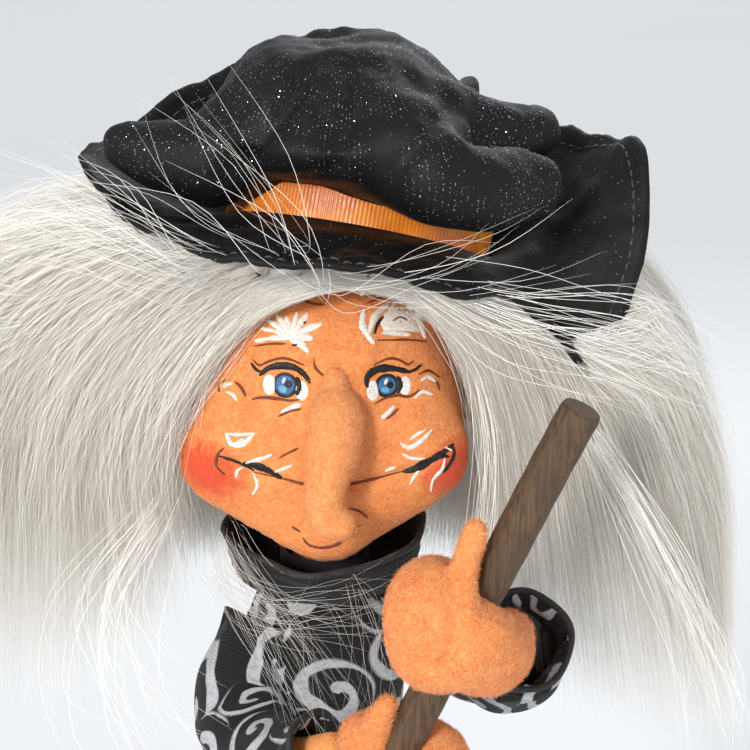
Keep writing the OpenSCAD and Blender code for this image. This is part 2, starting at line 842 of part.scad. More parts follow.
// The brim's edge as [angle, reach, height above the band's seat]. Angle 0 is +X and -90 is the front: she has
// turned it up at the back, it stands out level on her left and droops steeply in front of her left shoulder.
brim_edge = [
    [-180, 67, 13], [-151, 59.5, 4], [-120, 56, 1], [-90, 54, -0.5], [-51, 54, -10], [-22, 64, -36],
    [-11, 72, -8], [-1, 71, 15], [30, 61, 12], [55, 56.5, 12.5], [90, 56, 26], [115, 56.5, 28],
    [135, 57.5, 22], [159, 61, 14], [180, 67, 13]
];
function smooth(t) = t * t * (3 - 2 * t);
function edge_span(a) = max([for (i = [0 : len(brim_edge) - 2]) if (brim_edge[i][0] <= a) i]);
function edge_at(a, column) = let (i = edge_span(a), p = brim_edge[i], q = brim_edge[i + 1])
    lerp(p[column], q[column], smooth((a - p[0]) / (q[0] - p[0])));
function opening_point(a) = let (x = crown_r * cos(a), y = crown_r * sin(a))
    [x * cos(hat_roll) + y * sin(hat_pitch) * sin(hat_roll), y * cos(hat_pitch),
     y * sin(hat_pitch) * cos(hat_roll) - x * sin(hat_roll) + hat_drop];
function rim_point(a) = [edge_at(a, 1) * cos(a), edge_at(a, 1) * sin(a), 0];
function brim_point(a, t) = [hat_c.x, hat_c.y, brim_z + edge_at(a, 2) * pow(t, 1.4)]
    + lerp(opening_point(a), rim_point(a), t);

// Frame of the hat's opening: +Z is the axis of the ribbon.
module on_hat() {
    translate([hat_c.x, hat_c.y, brim_z + hat_drop]) rotate([hat_pitch, hat_roll, 0]) children();
}

module hat_brim() {
    around = 64;
    across = 4;
    ring_len = 2 * (across + 1);
    points = [
        for (k = [0 : around - 1], j = [0 : ring_len - 1])
            let (
                a = -180 + 360 * k / around,
                top = j > across,
                t = (top ? ring_len - 1 - j : j) / across
            ) brim_point(a, t) + [0, 0, top ? cloth_t : 0]
    ];
    faces = [
        for (k = [0 : around - 1], j = [0 : ring_len - 1])
            let (
                a = k * ring_len + j,
                b = k * ring_len + (j + 1) % ring_len,
                c = ((k + 1) % around) * ring_len + (j + 1) % ring_len,
                d = ((k + 1) % around) * ring_len + j
            ) each [[a, c, b], [a, d, c]]
    ];
    color("#111013") polyhedron(points = points, faces = faces);
}

// Slouched cone: it bulges over the ribbon on both sides, and its point has fallen over behind, onto the brim.
module hat_crown() {
    color("#111013")
        difference() {
            union() {
                on_hat() translate([0, 0, 1.5]) cylinder(r = 31, h = 13.2);
                hull() {
                    on_hat() translate([0, 0, 14.7]) cylinder(r = 31, h = 0.02, $fn = hull_fn);
                    station([brim_z + 16, 8, 2, 34, 36]);
                }
                skin([
                    [brim_z + 16, 8, 2, 34, 36], [brim_z + 23, 7, 0, 34, 38], [brim_z + 30, 5, 1, 29, 33],
                    [brim_z + 37, 3, 2, 22, 25], [brim_z + 42, 2, 3, 14, 16]
                ]);
                chain([
                    [[8, 0, 446], 17], [[18, 14, 441], 14], [[27, 30, 436], 10], [[34, 42, 437.5], 6.3],
                    [[38, 50, 442], 3.3]
                ]);
                chain([
                    [[6, -14, 446], 15], [[18, -24, 443], 13], [[27, -31, 438], 11], [[38, -26, 434], 10],
                    [[48, -16, 432], 8]
                ]);
                chain([[[22, -8, 444], 14], [[38, -2, 442], 9.5], [[52, 4, 441], 6]]);
                chain([[[-10, -8, 447], 14], [[-25, -12, 437], 11], [[-38, -9, 438], 8.5], [[-46, -7, 440], 6]]);
            }
            on_hat() ring(band_r + 1, band_r - 1, band_h + 0.6, cloth_t - 0.4);
            on_hat() translate([0, 0, 1]) cylinder(r1 = 29.5, r2 = 14, h = 14, $fn = hull_fn);
        }
}

module hat_band() {
    color("#e07a10")
        on_hat() ring(band_r + 0.4, band_r - 0.4, band_h, cloth_t + 0.1);
}

// ---------- the assembly ----------

base_shell();
base_plate();
base_cover();
rubber_feet();
plate_screws();
battery_box();
batteries();
battery_contacts();
battery_door();
switch_body();
switch_knob();
control_board();
lead_wires();
gearbox();
drive_motor();
bearing_bracket();
drive_screws();
output_shaft();
body_pinion();
head_pinion();
body_gear();
head_gear();
support_tube();
flange_screws();
spindle_bushes();
torso_spindle();
spindle_liners();
head_spindle();
hip_block();
leg_wires();
right_leg();
left_leg();
right_shoe();
left_shoe();
shoe_screws();
torso_hub();
torso_padding();
shoulder_bar();
bodice();
skirt();
neck();
collar();
arm_wires();
right_arm();
left_arm();
right_hand();
left_hand();
right_sleeve();
left_sleeve();
broomstick();
broom_bristles();
bristle_binding();
head_former();
face();
nose();
wig();
hat_brim();
hat_crown();
hat_band();
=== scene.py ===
"""Looks of the animated witch figure: felt skin, painted face, fur wig, printed dress and hat over the CAD.

Lengths are millimetres until a mesh is made. Points are numpy arrays in the part's own frame, +Z up, face
to -Y. Right and left in a piece's name are the figure's own for limbs and the viewer's for hair.
"""

import math
import zlib

import bpy
import numpy as np
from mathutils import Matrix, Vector
from mathutils.bvhtree import BVHTree


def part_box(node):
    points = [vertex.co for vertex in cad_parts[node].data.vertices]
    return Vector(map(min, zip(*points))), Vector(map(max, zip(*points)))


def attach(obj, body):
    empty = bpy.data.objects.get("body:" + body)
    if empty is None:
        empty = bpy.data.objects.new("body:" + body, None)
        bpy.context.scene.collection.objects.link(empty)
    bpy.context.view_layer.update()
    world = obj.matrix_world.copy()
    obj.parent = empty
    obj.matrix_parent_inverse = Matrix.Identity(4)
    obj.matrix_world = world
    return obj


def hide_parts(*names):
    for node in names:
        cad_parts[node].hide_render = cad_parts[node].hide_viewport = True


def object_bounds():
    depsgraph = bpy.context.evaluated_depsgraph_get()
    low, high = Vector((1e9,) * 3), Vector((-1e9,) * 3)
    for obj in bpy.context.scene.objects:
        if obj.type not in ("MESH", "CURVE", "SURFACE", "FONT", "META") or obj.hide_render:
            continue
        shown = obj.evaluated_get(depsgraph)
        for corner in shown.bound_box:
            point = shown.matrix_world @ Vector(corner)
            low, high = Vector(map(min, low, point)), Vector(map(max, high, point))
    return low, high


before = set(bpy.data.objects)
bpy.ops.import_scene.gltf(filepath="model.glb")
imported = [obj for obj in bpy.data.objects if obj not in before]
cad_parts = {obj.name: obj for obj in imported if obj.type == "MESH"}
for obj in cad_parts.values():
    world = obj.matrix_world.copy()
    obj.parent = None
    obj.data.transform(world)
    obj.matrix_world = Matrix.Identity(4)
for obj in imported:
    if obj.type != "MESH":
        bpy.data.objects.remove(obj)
cad_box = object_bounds()

MM = 0.001
UP = np.array([0.0, 0.0, 1.0])


# ---------- measures read from the frame ----------


def node_points(node):
    """Every vertex of a CAD node, in millimetres."""
    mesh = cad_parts[node].data
    points = np.empty(len(mesh.vertices) * 3)
    mesh.vertices.foreach_get("co", points)
    return points.reshape(-1, 3) / MM


def node_box(node):
    """The corners of a CAD node's box, in millimetres."""
    low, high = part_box(node)
    return np.array(low) / MM, np.array(high) / MM


def unit(vectors):
    length = np.linalg.norm(vectors, axis=-1, keepdims=True)
    return vectors / np.maximum(length, 1e-9)


FORMER_R = 21                       # radius of the ball inside the head
HEAD_TILT = math.radians(12)        # the face looks up by this much
HEAD_C = np.array([0, 0, node_box("head_former")[1][2] - FORMER_R + 1])
TILT = np.array([
    [1, 0, 0],
    [0, math.cos(HEAD_TILT), math.sin(HEAD_TILT)],
    [0, -math.sin(HEAD_TILT), math.cos(HEAD_TILT)],
])


def from_head(points):
    """Head frame (x to the viewer's right, y into the head, z up the face) to the part's frame."""
    return np.asarray(points, float) @ TILT.T + HEAD_C


def to_head(points):
    return (np.asarray(points, float) - HEAD_C) @ TILT


BASE_TOP = node_box("base_cover")[1][2]
WAIST_Z = node_box("bodice")[0][2] - 1.5
HEM_Z = node_box("skirt")[0][2]
HEM_R = node_box("skirt")[1][0]
SHOULDER_Z = WAIST_Z + 75


def stick_frame():
    """Axes of the broomstick as rows x, y, z, and the middle of its cut upper end."""
    points = node_points("broomstick")
    middle = points.mean(axis=0)
    axis = np.linalg.svd(points - middle, full_matrices=False)[2][0]
    axis = axis * np.sign(axis[2])
    side = unit(np.cross([0.0, 1.0, 0.0], axis))
    top = middle + axis * ((points - middle) @ axis).max()
    return np.array([side, np.cross(axis, side), axis]), top


def hat_frame():
    """Axes of the hat's opening as rows x, y, z, the opening's middle, and the ribbon's radius and height."""
    points = node_points("hat_band")
    middle = points.mean(axis=0)
    axis = np.linalg.svd(points - middle, full_matrices=False)[2][2]
    axis = axis * np.sign(axis[2])
    front = unit(np.cross([1.0, 0.0, 0.0], axis))
    along = (points - middle) @ axis
    radius = np.linalg.norm(points - middle - along[:, None] * axis, axis=1).max()
    height = along.max() - along.min()
    seat = middle + axis * (along.min() - BAND_GAP)
    return np.array([np.cross(-front, axis), -front, axis]), seat, radius, height


BAND_GAP = 1.3                      # from the brim's underside to the ribbon
HAT_AXES, HAT_C, BAND_R, BAND_H = hat_frame()
HAT_DROP = 9.4                      # the opening's middle sits this much lower than the brim's front edge
BRIM_Z = HAT_C[2] + HAT_DROP


def from_hat(points):
    """Hat frame (origin in the opening, z up the ribbon's axis) to the part's frame."""
    return np.asarray(points, float) @ HAT_AXES + HAT_C


def to_hat(points):
    return (np.asarray(points, float) - HAT_C) @ HAT_AXES.T


STICK_AXES, STICK_TOP = stick_frame()
STICK_ABOVE = 59                    # from the upper hand's grip to the cut end
STICK_R = 4.75
GRIP = STICK_TOP - STICK_ABOVE * STICK_AXES[2]
LOWER_GRIP = -42
BROOM_BELOW = 300                   # from the grip down to the tips of the bristles
BRUSH_LEN = 92


def from_stick(points):
    """Stick frame (origin at the upper grip, z up the stick) to the part's frame."""
    return np.asarray(points, float) @ STICK_AXES + GRIP


# ---------- curves and noise ----------


def seeded(name):
    """A random generator that depends only on a piece's name."""
    return np.random.default_rng(zlib.crc32(name.encode()))


def lerp(a, b, t):
    return a + (b - a) * t


def smooth_step(low, high, value):
    t = np.clip((value - low) / (high - low), 0, 1)
    return t * t * (3 - 2 * t)


def bell(distance, width):
    return np.exp(-((distance / width) ** 2))


def around(count):
    """Angles spaced evenly round a full turn."""
    return np.linspace(0, 2 * math.pi, count, endpoint=False)


def grid_points(x, y, z):
    """Three arrays of one grid, spread over each other, as points."""
    return np.stack(np.broadcast_arrays(x, y, z), axis=-1)


def spline(points, count):
    """Catmull-Rom curve through points, as count samples. Leading axes are carried along: (..., k, 3)."""
    points = np.asarray(points, float)
    last = points.shape[-2] - 1
    t = np.linspace(0, last, count)
    i = np.minimum(t.astype(int), last - 1)
    f = (t - i)[:, None]

    def at(k):
        return points[..., np.clip(k, 0, last), :]

    a, b, c, d = at(i - 1), at(i), at(i + 1), at(i + 2)
    bend = 2 * a - 5 * b + 4 * c - d
    twist = 3 * b - 3 * c + d - a
    return 0.5 * (2 * b + (c - a) * f + bend * f ** 2 + twist * f ** 3)


def ripple(points, size, name, octaves=3):
    """Smooth noise in about -1 to 1 that repeats nowhere near the part: a few sums of crossed sine waves."""
    rng = seeded(name)
    total = np.zeros(len(points))
    for octave in range(octaves):
        wave = unit(rng.normal(size=(5, 3))) * (2 * math.pi / size) * 1.9 ** octave
        phase = rng.uniform(0, 2 * math.pi, 5)
        total += np.sin(points @ wave.T + phase).sum(axis=1) / 2.6 * 0.55 ** octave
    return total / 1.6


def near_path(points, path):
    """Each point's distance to a polyline, and how far along the polyline, 0 to 1, its nearest place is."""
    path = np.asarray(path, float)
    best = np.full(len(points), 1e9)
    along = np.zeros(len(points))
    for k in range(len(path) - 1):
        span = path[k + 1] - path[k]
        t = np.clip((points - path[k]) @ span / (span @ span), 0, 1)
        distance = np.linalg.norm(points - path[k] - t[:, None] * span, axis=1)
        closer = distance < best
        best = np.where(closer, distance, best)
        along = np.where(closer, (k + t) / (len(path) - 1), along)
    return best, along


# ---------- meshes ----------


def make_mesh(name, points, faces):
    """A mesh from points in millimetres and faces that all have the same number of corners."""
    faces = np.asarray(faces, np.int32)
    mesh = bpy.data.meshes.new(name)
    mesh.vertices.add(len(points))
    mesh.vertices.foreach_set("co", (np.asarray(points) * MM).astype(np.float32).ravel())
    mesh.loops.add(faces.size)
    mesh.loops.foreach_set("vertex_index", faces.ravel())
    mesh.polygons.add(len(faces))
    mesh.polygons.foreach_set("loop_start", np.arange(0, faces.size, faces.shape[1], dtype=np.int32))
    mesh.update(calc_edges=True)
    mesh.shade_smooth()
    return mesh


def make_object(name, mesh):
    obj = bpy.data.objects.new(name, mesh)
    bpy.context.scene.collection.objects.link(obj)
    return obj


def place(obj, body, materials, stands_for=()):
    """Gives a finished piece its materials, its body and the CAD nodes it stands for."""
    obj.data.materials.clear()
    for material in materials if isinstance(materials, (list, tuple)) else [materials]:
        obj.data.materials.append(material)
    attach(obj, body)
    if stands_for:
        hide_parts(*stands_for)
    return obj


def add_piece(name, points, faces, body, materials, stands_for=()):
    return place(make_object(name, make_mesh(name, points, faces)), body, materials, stands_for)


def grid_faces(rows, columns, wrap=False):
    """Quads of a rows by columns grid of points; wrap joins the last column to the first."""
    i, j = np.meshgrid(np.arange(rows - 1), np.arange(columns if wrap else columns - 1), indexing="ij")
    following = (j + 1) % columns
    quads = [i * columns + j, i * columns + following, (i + 1) * columns + following, (i + 1) * columns + j]
    return np.stack(quads, axis=-1).reshape(-1, 4)


def write_uv(mesh, rows, columns, wrap, height, width):
    """A layer of cloth coordinates in metres for the first grid of a mesh: rows run along height."""
    i, j = np.meshgrid(np.arange(rows - 1), np.arange(columns if wrap else columns - 1), indexing="ij")
    across = width / (columns if wrap else columns - 1)
    along = height / (rows - 1)
    corner_i = np.stack([i, i, i + 1, i + 1], axis=-1).reshape(-1, 4)
    corner_j = np.stack([j, j + 1, j + 1, j], axis=-1).reshape(-1, 4)
    layer = mesh.uv_layers.new(name="cloth")
    values = np.zeros((len(mesh.loops), 2), np.float32)
    corners = np.stack([corner_j * across, corner_i * along], axis=-1).reshape(-1, 2) * MM
    copies = len(mesh.loops) // len(corners)
    values[:copies * len(corners)] = np.tile(corners, (copies, 1))
    layer.data.foreach_set("uv", values.ravel())


def join_grids(parts):
    """Stacks (points, faces) pairs into one."""
    points, faces, start = [], [], 0
    for part_points, part_faces in parts:
        points.append(part_points)
        faces.append(part_faces + start)
        start += len(part_points)
    return np.concatenate(points), np.concatenate(faces)


def frames_along(path):
    """Two side vectors for each point of a path, carried along it without twisting."""
    tangent = unit(np.gradient(path, axis=0))
    side = np.empty_like(path)
    first = np.cross(tangent[0], UP if abs(tangent[0][2]) < 0.9 else np.array([1.0, 0, 0]))
    side[0] = unit(first)
    for k in range(1, len(path)):
        carried = side[k - 1] - tangent[k] * (side[k - 1] @ tangent[k])
        side[k] = unit(carried)
    return side, np.cross(tangent, side)


def tube(path, radii, sides=12, flatten=1.0):
    """A tube of rings along a path. radii is one value, one a ring, or one a ring and side."""
    path = np.asarray(path, float)
    side, other = frames_along(path)
    angle = around(sides)
    radii = np.asarray(radii, float)
    if radii.ndim == 1:
        radii = radii[:, None]
    radii = np.broadcast_to(radii, (len(path), sides))
    offset = side[:, None] * (np.cos(angle) * radii)[..., None]
    offset = offset + other[:, None] * (np.sin(angle) * radii * flatten)[..., None]
    points = (path[:, None] + offset).reshape(-1, 3)
    return points, grid_faces(len(path), sides, wrap=True)


def evaluated_copy(obj, name):
    """A new mesh holding obj with its modifiers applied."""
    graph = bpy.context.evaluated_depsgraph_get()
    mesh = bpy.data.meshes.new_from_object(obj.evaluated_get(graph), depsgraph=graph)
    mesh.name = name
    return mesh


def sew(name, points, cloth, thickness, offset=-1, lengths=None):
    """A thick ring of cloth from a grid of points; lengths are its height and girth, for the print."""
    rows, columns = points.shape[:2]
    mesh = make_mesh(name, points.reshape(-1, 3), grid_faces(rows, columns, wrap=True))
    obj = make_object(name + "_cloth", mesh)
    if lengths:
        write_uv(obj.data, rows, columns, True, *lengths)
    add_wall(obj, thickness, offset)
    replace_mesh(obj, name + "_cloth")
    return place(obj, "upper_body", cloth, [name])


def add_wall(obj, thickness, offset=-1):
    wall = obj.modifiers.new("wall", "SOLIDIFY")
    wall.thickness = thickness * MM
    wall.offset = offset


def bind_edge(name, edge, radius, body, material, sides=8, flatten=1.0):
    """A cord or a binding that runs round a closed edge."""
    points, faces = tube(np.concatenate([edge, edge[:1]]), radius, sides, flatten)
    add_piece(name, points, faces, body, material)


def replace_mesh(obj, name):
    """Applies obj's modifiers."""
    mesh = evaluated_copy(obj, name)
    obj.modifiers.clear()
    obj.data = mesh
    mesh.shade_smooth()


def remesh(obj, voxel, smoothing):
    """Turns obj into one even closed skin, then relaxes it."""
    skin = obj.modifiers.new("skin", "REMESH")
    skin.mode = "VOXEL"
    skin.voxel_size = voxel * MM
    if smoothing:
        relax = obj.modifiers.new("relax", "SMOOTH")
        relax.iterations = smoothing
        relax.factor = 0.5
    replace_mesh(obj, obj.name)


def blob(name, chains, voxel=0.8, smoothing=6):
    """One soft skin over chains of balls [[x, y, z], radius], each chain filled in between its balls."""
    ring = 12
    latitude = np.linspace(0, math.pi, ring)
    longitude = around(2 * ring)
    ball = np.stack([
        np.outer(np.sin(latitude), np.cos(longitude)),
        np.outer(np.sin(latitude), np.sin(longitude)),
        np.outer(np.cos(latitude), np.ones(2 * ring)),
    ], axis=-1).reshape(-1, 3)
    parts = []
    for chain in chains:
        row = np.array([[*centre, radius] for centre, radius in chain], float)
        count = max(3, int(np.linalg.norm(np.diff(row[:, :3], axis=0), axis=1).sum() / 1.2))
        for sample in spline(row, count):
            parts.append((ball * sample[3] + sample[:3], grid_faces(ring, 2 * ring, wrap=True)))
    obj = make_object(name, make_mesh(name, *join_grids(parts)))
    remesh(obj, voxel, smoothing)
    return obj


def soften(node, name, voxel=1.2, smoothing=8):
    """A smooth closed copy of a CAD node's outside."""
    obj = make_object(name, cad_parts[node].data.copy())
    remesh(obj, voxel, smoothing)
    return obj


def read_points(obj):
    points = np.empty(len(obj.data.vertices) * 3)
    obj.data.vertices.foreach_get("co", points)
    return points.reshape(-1, 3) / MM


def read_normals(obj):
    normals = np.empty(len(obj.data.vertices) * 3, np.float32)
    obj.data.vertices.foreach_get("normal", normals)
    return normals.reshape(-1, 3).astype(float)


def write_points(obj, points):
    obj.data.vertices.foreach_set("co", (points * MM).astype(np.float32).ravel())
    obj.data.update()


def push(obj, amount):
    """Moves each vertex along its normal."""
    write_points(obj, read_points(obj) + read_normals(obj) * amount[:, None])


def crease(obj, path, depth, width):
    """Presses a soft groove along a path laid on the surface, or raises a ridge where depth is negative."""
    path = [np.array(obj.closest_point_on_mesh(Vector(spot) * MM)[1]) / MM for spot in spline(path, 24)]
    distance, along = near_path(read_points(obj), path)
    push(obj, -depth * bell(distance, width) * np.sin(math.pi * np.clip(along, 0.04, 0.96)) ** 0.5)


# ---------- materials ----------


def rgb(red, green, blue):
    """A screen colour, 0 to 255, as the linear colour a shader takes."""
    screen = np.array([red, green, blue]) / 255
    linear = np.where(screen <= 0.04045, screen / 12.92, ((screen + 0.055) / 1.055) ** 2.4)
    return tuple(float(value) for value in linear)


WAVE_SCALE = 3.18                   # wave texture units in one band


class Shade:
    """A node material under construction. Sizes are millimetres."""

    def __init__(self, name, rough=0.8, **inputs):
        self.material = bpy.data.materials.new(name)
        self.material.use_nodes = True
        self.tree = self.material.node_tree
        self.surface = self.tree.nodes["Principled BSDF"]
        self.place = self.node("TexCoord").outputs["Object"]
        self.feed(self.surface.inputs["Roughness"], rough)
        for key, value in inputs.items():
            self.feed(self.surface.inputs[key.replace("_", " ").title().replace("Ior", "IOR")], value)

    def node(self, kind, inputs=None, **attributes):
        made = self.tree.nodes.new("ShaderNode" + kind)
        for key, value in attributes.items():
            setattr(made, key, value)
        for key, value in (inputs or {}).items():
            self.feed(made.inputs[key], value)
        return made

    def feed(self, socket, value):
        if isinstance(value, bpy.types.NodeSocket):
            self.tree.links.new(value, socket)
        elif socket.type == "RGBA" and len(value) == 3:
            socket.default_value = (*value, 1)
        else:
            socket.default_value = value

    def colour(self, value):
        self.feed(self.surface.inputs["Base Color"], value)

    def rough(self, value):
        self.feed(self.surface.inputs["Roughness"], value)

    def scaled(self, x, y, z):
        stretch = {"Vector": self.place, "Scale": (x, y, z)}
        return self.node("Mapping", stretch).outputs["Vector"]

    def texture(self, kind, size, output, vector=None, inputs=None, **attributes):
        inputs = {"Vector": vector or self.place, "Scale": 1 / (size * MM), **(inputs or {})}
        return self.node("Tex" + kind, inputs, **attributes).outputs[output]

    def noise(self, size, detail=3, vector=None, twist=0, output="Fac"):
        return self.texture("Noise", size, output, vector, {"Detail": detail, "Distortion": twist})

    def cells(self, size, output="Distance", spread=1):
        return self.texture("Voronoi", size, output, inputs={"Randomness": spread})

    def wave(self, size, vector=None, twist=0, direction="X"):
        return self.texture("Wave", size * WAVE_SCALE, "Fac", vector, {"Distortion": twist},
                            bands_direction=direction)

    def math(self, operation, a, b=0.0, c=0.0):
        return self.node("Math", {0: a, 1: b, 2: c}, operation=operation).outputs[0]

    def vector(self, operation, a, b=None, output=0, **inputs):
        inputs = {0: a, **({} if b is None else {1: b}), **inputs}
        return self.node("VectorMath", inputs, operation=operation).outputs[output]

    def fit(self, value, low, high, to_low=0.0, to_high=1.0):
        inputs = {"Value": value, "From Min": low, "From Max": high, "To Min": to_low, "To Max": to_high}
        return self.node("MapRange", inputs, interpolation_type="SMOOTHSTEP").outputs["Result"]

    def mix(self, amount, a, b):
        return self.node("Mix", {0: amount, 6: a, 7: b}, data_type="RGBA").outputs[2]

    def bump(self, height, distance, strength=1.0):
        inputs = {"Height": height, "Distance": distance * MM, "Strength": strength}
        self.feed(self.surface.inputs["Normal"], self.node("Bump", inputs).outputs["Normal"])
        return self.material


def felt(name, light, dark, sheen=0.5):
    """Pressed wool: mottled at two sizes, with a matted surface."""
    shade = Shade(name, rough=0.95, sheen_weight=sheen, sheen_roughness=0.5, sheen_tint=light)
    fine = shade.noise(0.8, 5, twist=0.8)
    patchy = shade.noise(3.2, 3)
    broad = shade.noise(9, 2)
    tone = shade.math("MULTIPLY_ADD", patchy, 0.5, shade.math("MULTIPLY", fine, 0.7))
    tone = shade.math("MULTIPLY_ADD", broad, 0.35, tone)
    shade.colour(shade.mix(shade.fit(tone, 0.52, 0.98), dark, light))
    shade.bump(fine, 0.45, 0.8)
    return shade


def face_felt(blushes):
    """Skin felt with a painted blush round each point in blushes [centre, half sizes, strength]."""
    shade = felt("face_felt", rgb(250, 165, 98), rgb(226, 128, 66))
    colour = shade.surface.inputs["Base Color"].links[0].from_socket
    patch = shade.noise(1.6, 4, twist=0.8)
    for centre, size, strength in blushes:
        offset = shade.vector("SUBTRACT", shade.place, tuple(centre * MM))
        offset = shade.vector("MULTIPLY", offset, tuple(1 / (np.array(size) * MM)))
        reach = shade.vector("LENGTH", offset, output="Value")
        reach = shade.math("MULTIPLY_ADD", patch, 0.7, reach)
        colour = shade.mix(shade.fit(reach, 0.75, 1.5, strength, 0.0), colour, rgb(226, 70, 42))
    shade.colour(colour)
    return shade.material


def plain(name, colour, rough=0.7, **inputs):
    """One tone of a many-stranded piece, whose variety comes from its strands."""
    shade = Shade(name, rough=rough, **inputs)
    shade.colour(colour)
    return shade.material


def paint(name, colour, worn):
    """Brushed acrylic over felt."""
    shade = Shade(name, rough=0.5, specular_ior_level=0.4)
    streak = shade.noise(0.5, 4, twist=0.5)
    shade.colour(shade.mix(shade.fit(streak, 0.35, 0.7), colour, worn))
    shade.rough(shade.fit(streak, 0.2, 0.8, 0.35, 0.7))
    return shade.bump(streak, 0.2, 0.6)


def hat_cloth():
    """Black dress cloth with a fine grid of metal dots."""
    shade = Shade("hat_cloth", rough=0.6, sheen_weight=0.02, sheen_roughness=0.3, specular_ior_level=0.3)
    weave = shade.noise(0.5, 3)
    dots = shade.cells(1.15, spread=0.55)
    bright = shade.node("SeparateColor", {0: shade.cells(1.15, "Color", spread=0.55)}).outputs[0]
    lit = shade.math("MULTIPLY", shade.fit(dots, 0.16, 0.1), shade.fit(bright, 0.45, 0.75))
    broad = shade.fit(shade.noise(14, 2), 0.4, 0.65)
    lit = shade.math("MULTIPLY", lit, shade.math("MULTIPLY_ADD", broad, 0.7, 0.3))
    shade.colour(shade.mix(lit, shade.mix(weave, rgb(3, 3, 4), rgb(10, 10, 11)), rgb(150, 152, 160)))
    shade.rough(shade.math("MULTIPLY_ADD", lit, -0.3, 0.6))
    return shade.bump(weave, 0.25, 0.6)


def print_cloth():
    """Black cotton printed with brushed grey-white scrolls, laid out in the piece's own cloth coordinates."""
    shade = Shade("print_cloth", rough=0.8, sheen_weight=0.08, sheen_roughness=0.4)
    motif, turn_pitch = 19.0, 7.6
    cloth = shade.node("UVMap", uv_map="cloth").outputs["UV"]
    drift = shade.noise(16, 0, cloth, output="Color")
    drift = shade.vector("SUBTRACT", drift, (0.5, 0.5, 0.5))
    drift = shade.vector("SCALE", drift, Scale=7 * MM)
    cloth_at = shade.vector("ADD", cloth, drift)
    layout = {"Vector": cloth_at, "Scale": 1 / (motif * MM), "Randomness": 0.7}
    cell = shade.node("TexVoronoi", layout, voronoi_dimensions="2D")
    to_middle = shade.vector("SUBTRACT", cloth_at, cell.outputs["Position"])
    parts = shade.node("SeparateXYZ", {0: to_middle}).outputs
    tint = shade.node("SeparateColor", {0: cell.outputs["Color"]}).outputs
    flip = shade.math("SIGN", shade.math("SUBTRACT", tint[0], 0.5))
    angle = shade.math("DIVIDE", shade.math("ARCTAN2", parts[1], parts[0]), 2 * math.pi)
    angle = shade.math("MULTIPLY", angle, flip)
    reach = shade.vector("LENGTH", to_middle, output="Value")
    turns = shade.math("MULTIPLY", reach, 1 / (turn_pitch * MM))
    spiral = shade.math("FRACT", shade.math("ADD", shade.math("ADD", turns, angle), tint[1]))
    swell = shade.noise(6, 1, cloth)
    distance = shade.math("ABSOLUTE", shade.math("SUBTRACT", spiral, 0.5))
    distance = shade.math("ADD", distance, shade.math("MULTIPLY_ADD", swell, 0.3, -0.15))
    stroke = shade.fit(distance, 0.235, 0.165)
    edge = shade.fit(cell.outputs["Distance"], 0.56, 0.5)
    brush = shade.fit(shade.noise(1.3, 3, cloth), 0.3, 0.6)
    worn = shade.math("MULTIPLY_ADD", brush, 0.25, 0.7)
    ink = shade.math("MULTIPLY", shade.math("MULTIPLY", stroke, edge), worn)
    thread = shade.math("ADD", shade.wave(0.5, cloth), shade.wave(0.5, cloth, direction="Y"))
    ground = shade.mix(shade.noise(5, 3), rgb(7, 7, 9), rgb(19, 18, 21))
    shade.colour(shade.mix(ink, ground, rgb(196, 197, 203)))
    return shade.bump(shade.math("ADD", thread, shade.noise(2.2, 3)), 0.16, 0.6)


def plain_cloth(name, light, dark, thread=0.5, rough=0.85):
    """Plain woven cloth of one colour."""
    shade = Shade(name, rough=rough, sheen_weight=0.12, sheen_roughness=0.5)
    yarn = shade.math("ADD", shade.wave(thread), shade.wave(thread, direction="Z"))
    shade.colour(shade.mix(shade.noise(3, 4), dark, light))
    return shade.bump(shade.math("ADD", yarn, shade.noise(0.8, 3)), 0.15, 0.6)


def satin():
    """Orange ribbon whose ribs shine across the weave; its colour runs from burnt to bright orange in broad
    patches and fine streaks, which is painted sheen.
    """
    shade = Shade("ribbon_satin", rough=0.36, sheen_weight=0.08, anisotropic=0.6, specular_ior_level=0.5)
    broad = shade.noise(9, 2)
    fine = shade.noise(0.6, 2, shade.scaled(1, 1, 0.2))
    # painted sheen: brighter orange patches and streaks in the base colour stand in for the satin's shine
    shade.colour(shade.mix(shade.math("MULTIPLY_ADD", fine, 0.35, shade.fit(broad, 0.3, 0.7, 0.0, 0.65)),
                           rgb(190, 86, 4), rgb(240, 142, 12)))
    shade.rough(shade.fit(fine, 0.3, 0.7, 0.28, 0.45))
    return shade.bump(fine, 0.08, 0.5)


def stick_paint():
    """Brown stain over turned wood, with the grain running along the stick."""
    shade = Shade("stick_paint", rough=0.6, specular_ior_level=0.35)
    axis = STICK_AXES[2]
    turn = (0.0, -math.atan2(axis[0], axis[2]), 0.0)
    stretch = {"Vector": shade.place, "Rotation": turn, "Scale": (1, 1, 0.05)}
    along = shade.node("Mapping", stretch).outputs["Vector"]
    grain = shade.noise(0.9, 5, along, twist=0.4)
    broad = shade.noise(9, 3)
    tone = shade.mix(shade.fit(grain, 0.3, 0.7), rgb(66, 50, 37), rgb(104, 82, 60))
    shade.colour(shade.mix(shade.fit(broad, 0.35, 0.75, 0.0, 0.5), tone, rgb(84, 66, 50)))
    shade.rough(shade.fit(grain, 0.2, 0.8, 0.5, 0.75))
    return shade.bump(grain, 0.15, 0.7)


def moulded(name, light, dark, rough=0.45, grain=0.6):
    """Moulded plastic with a fine spark finish and rubbed patches."""
    shade = Shade(name, rough=rough)
    broad = shade.noise(12, 3)
    shade.colour(shade.mix(shade.fit(broad, 0.35, 0.7), dark, light))
    shade.rough(shade.fit(broad, 0.3, 0.7, rough - 0.08, rough + 0.12))
    return shade.bump(shade.noise(grain, 3), 0.08, 0.5)


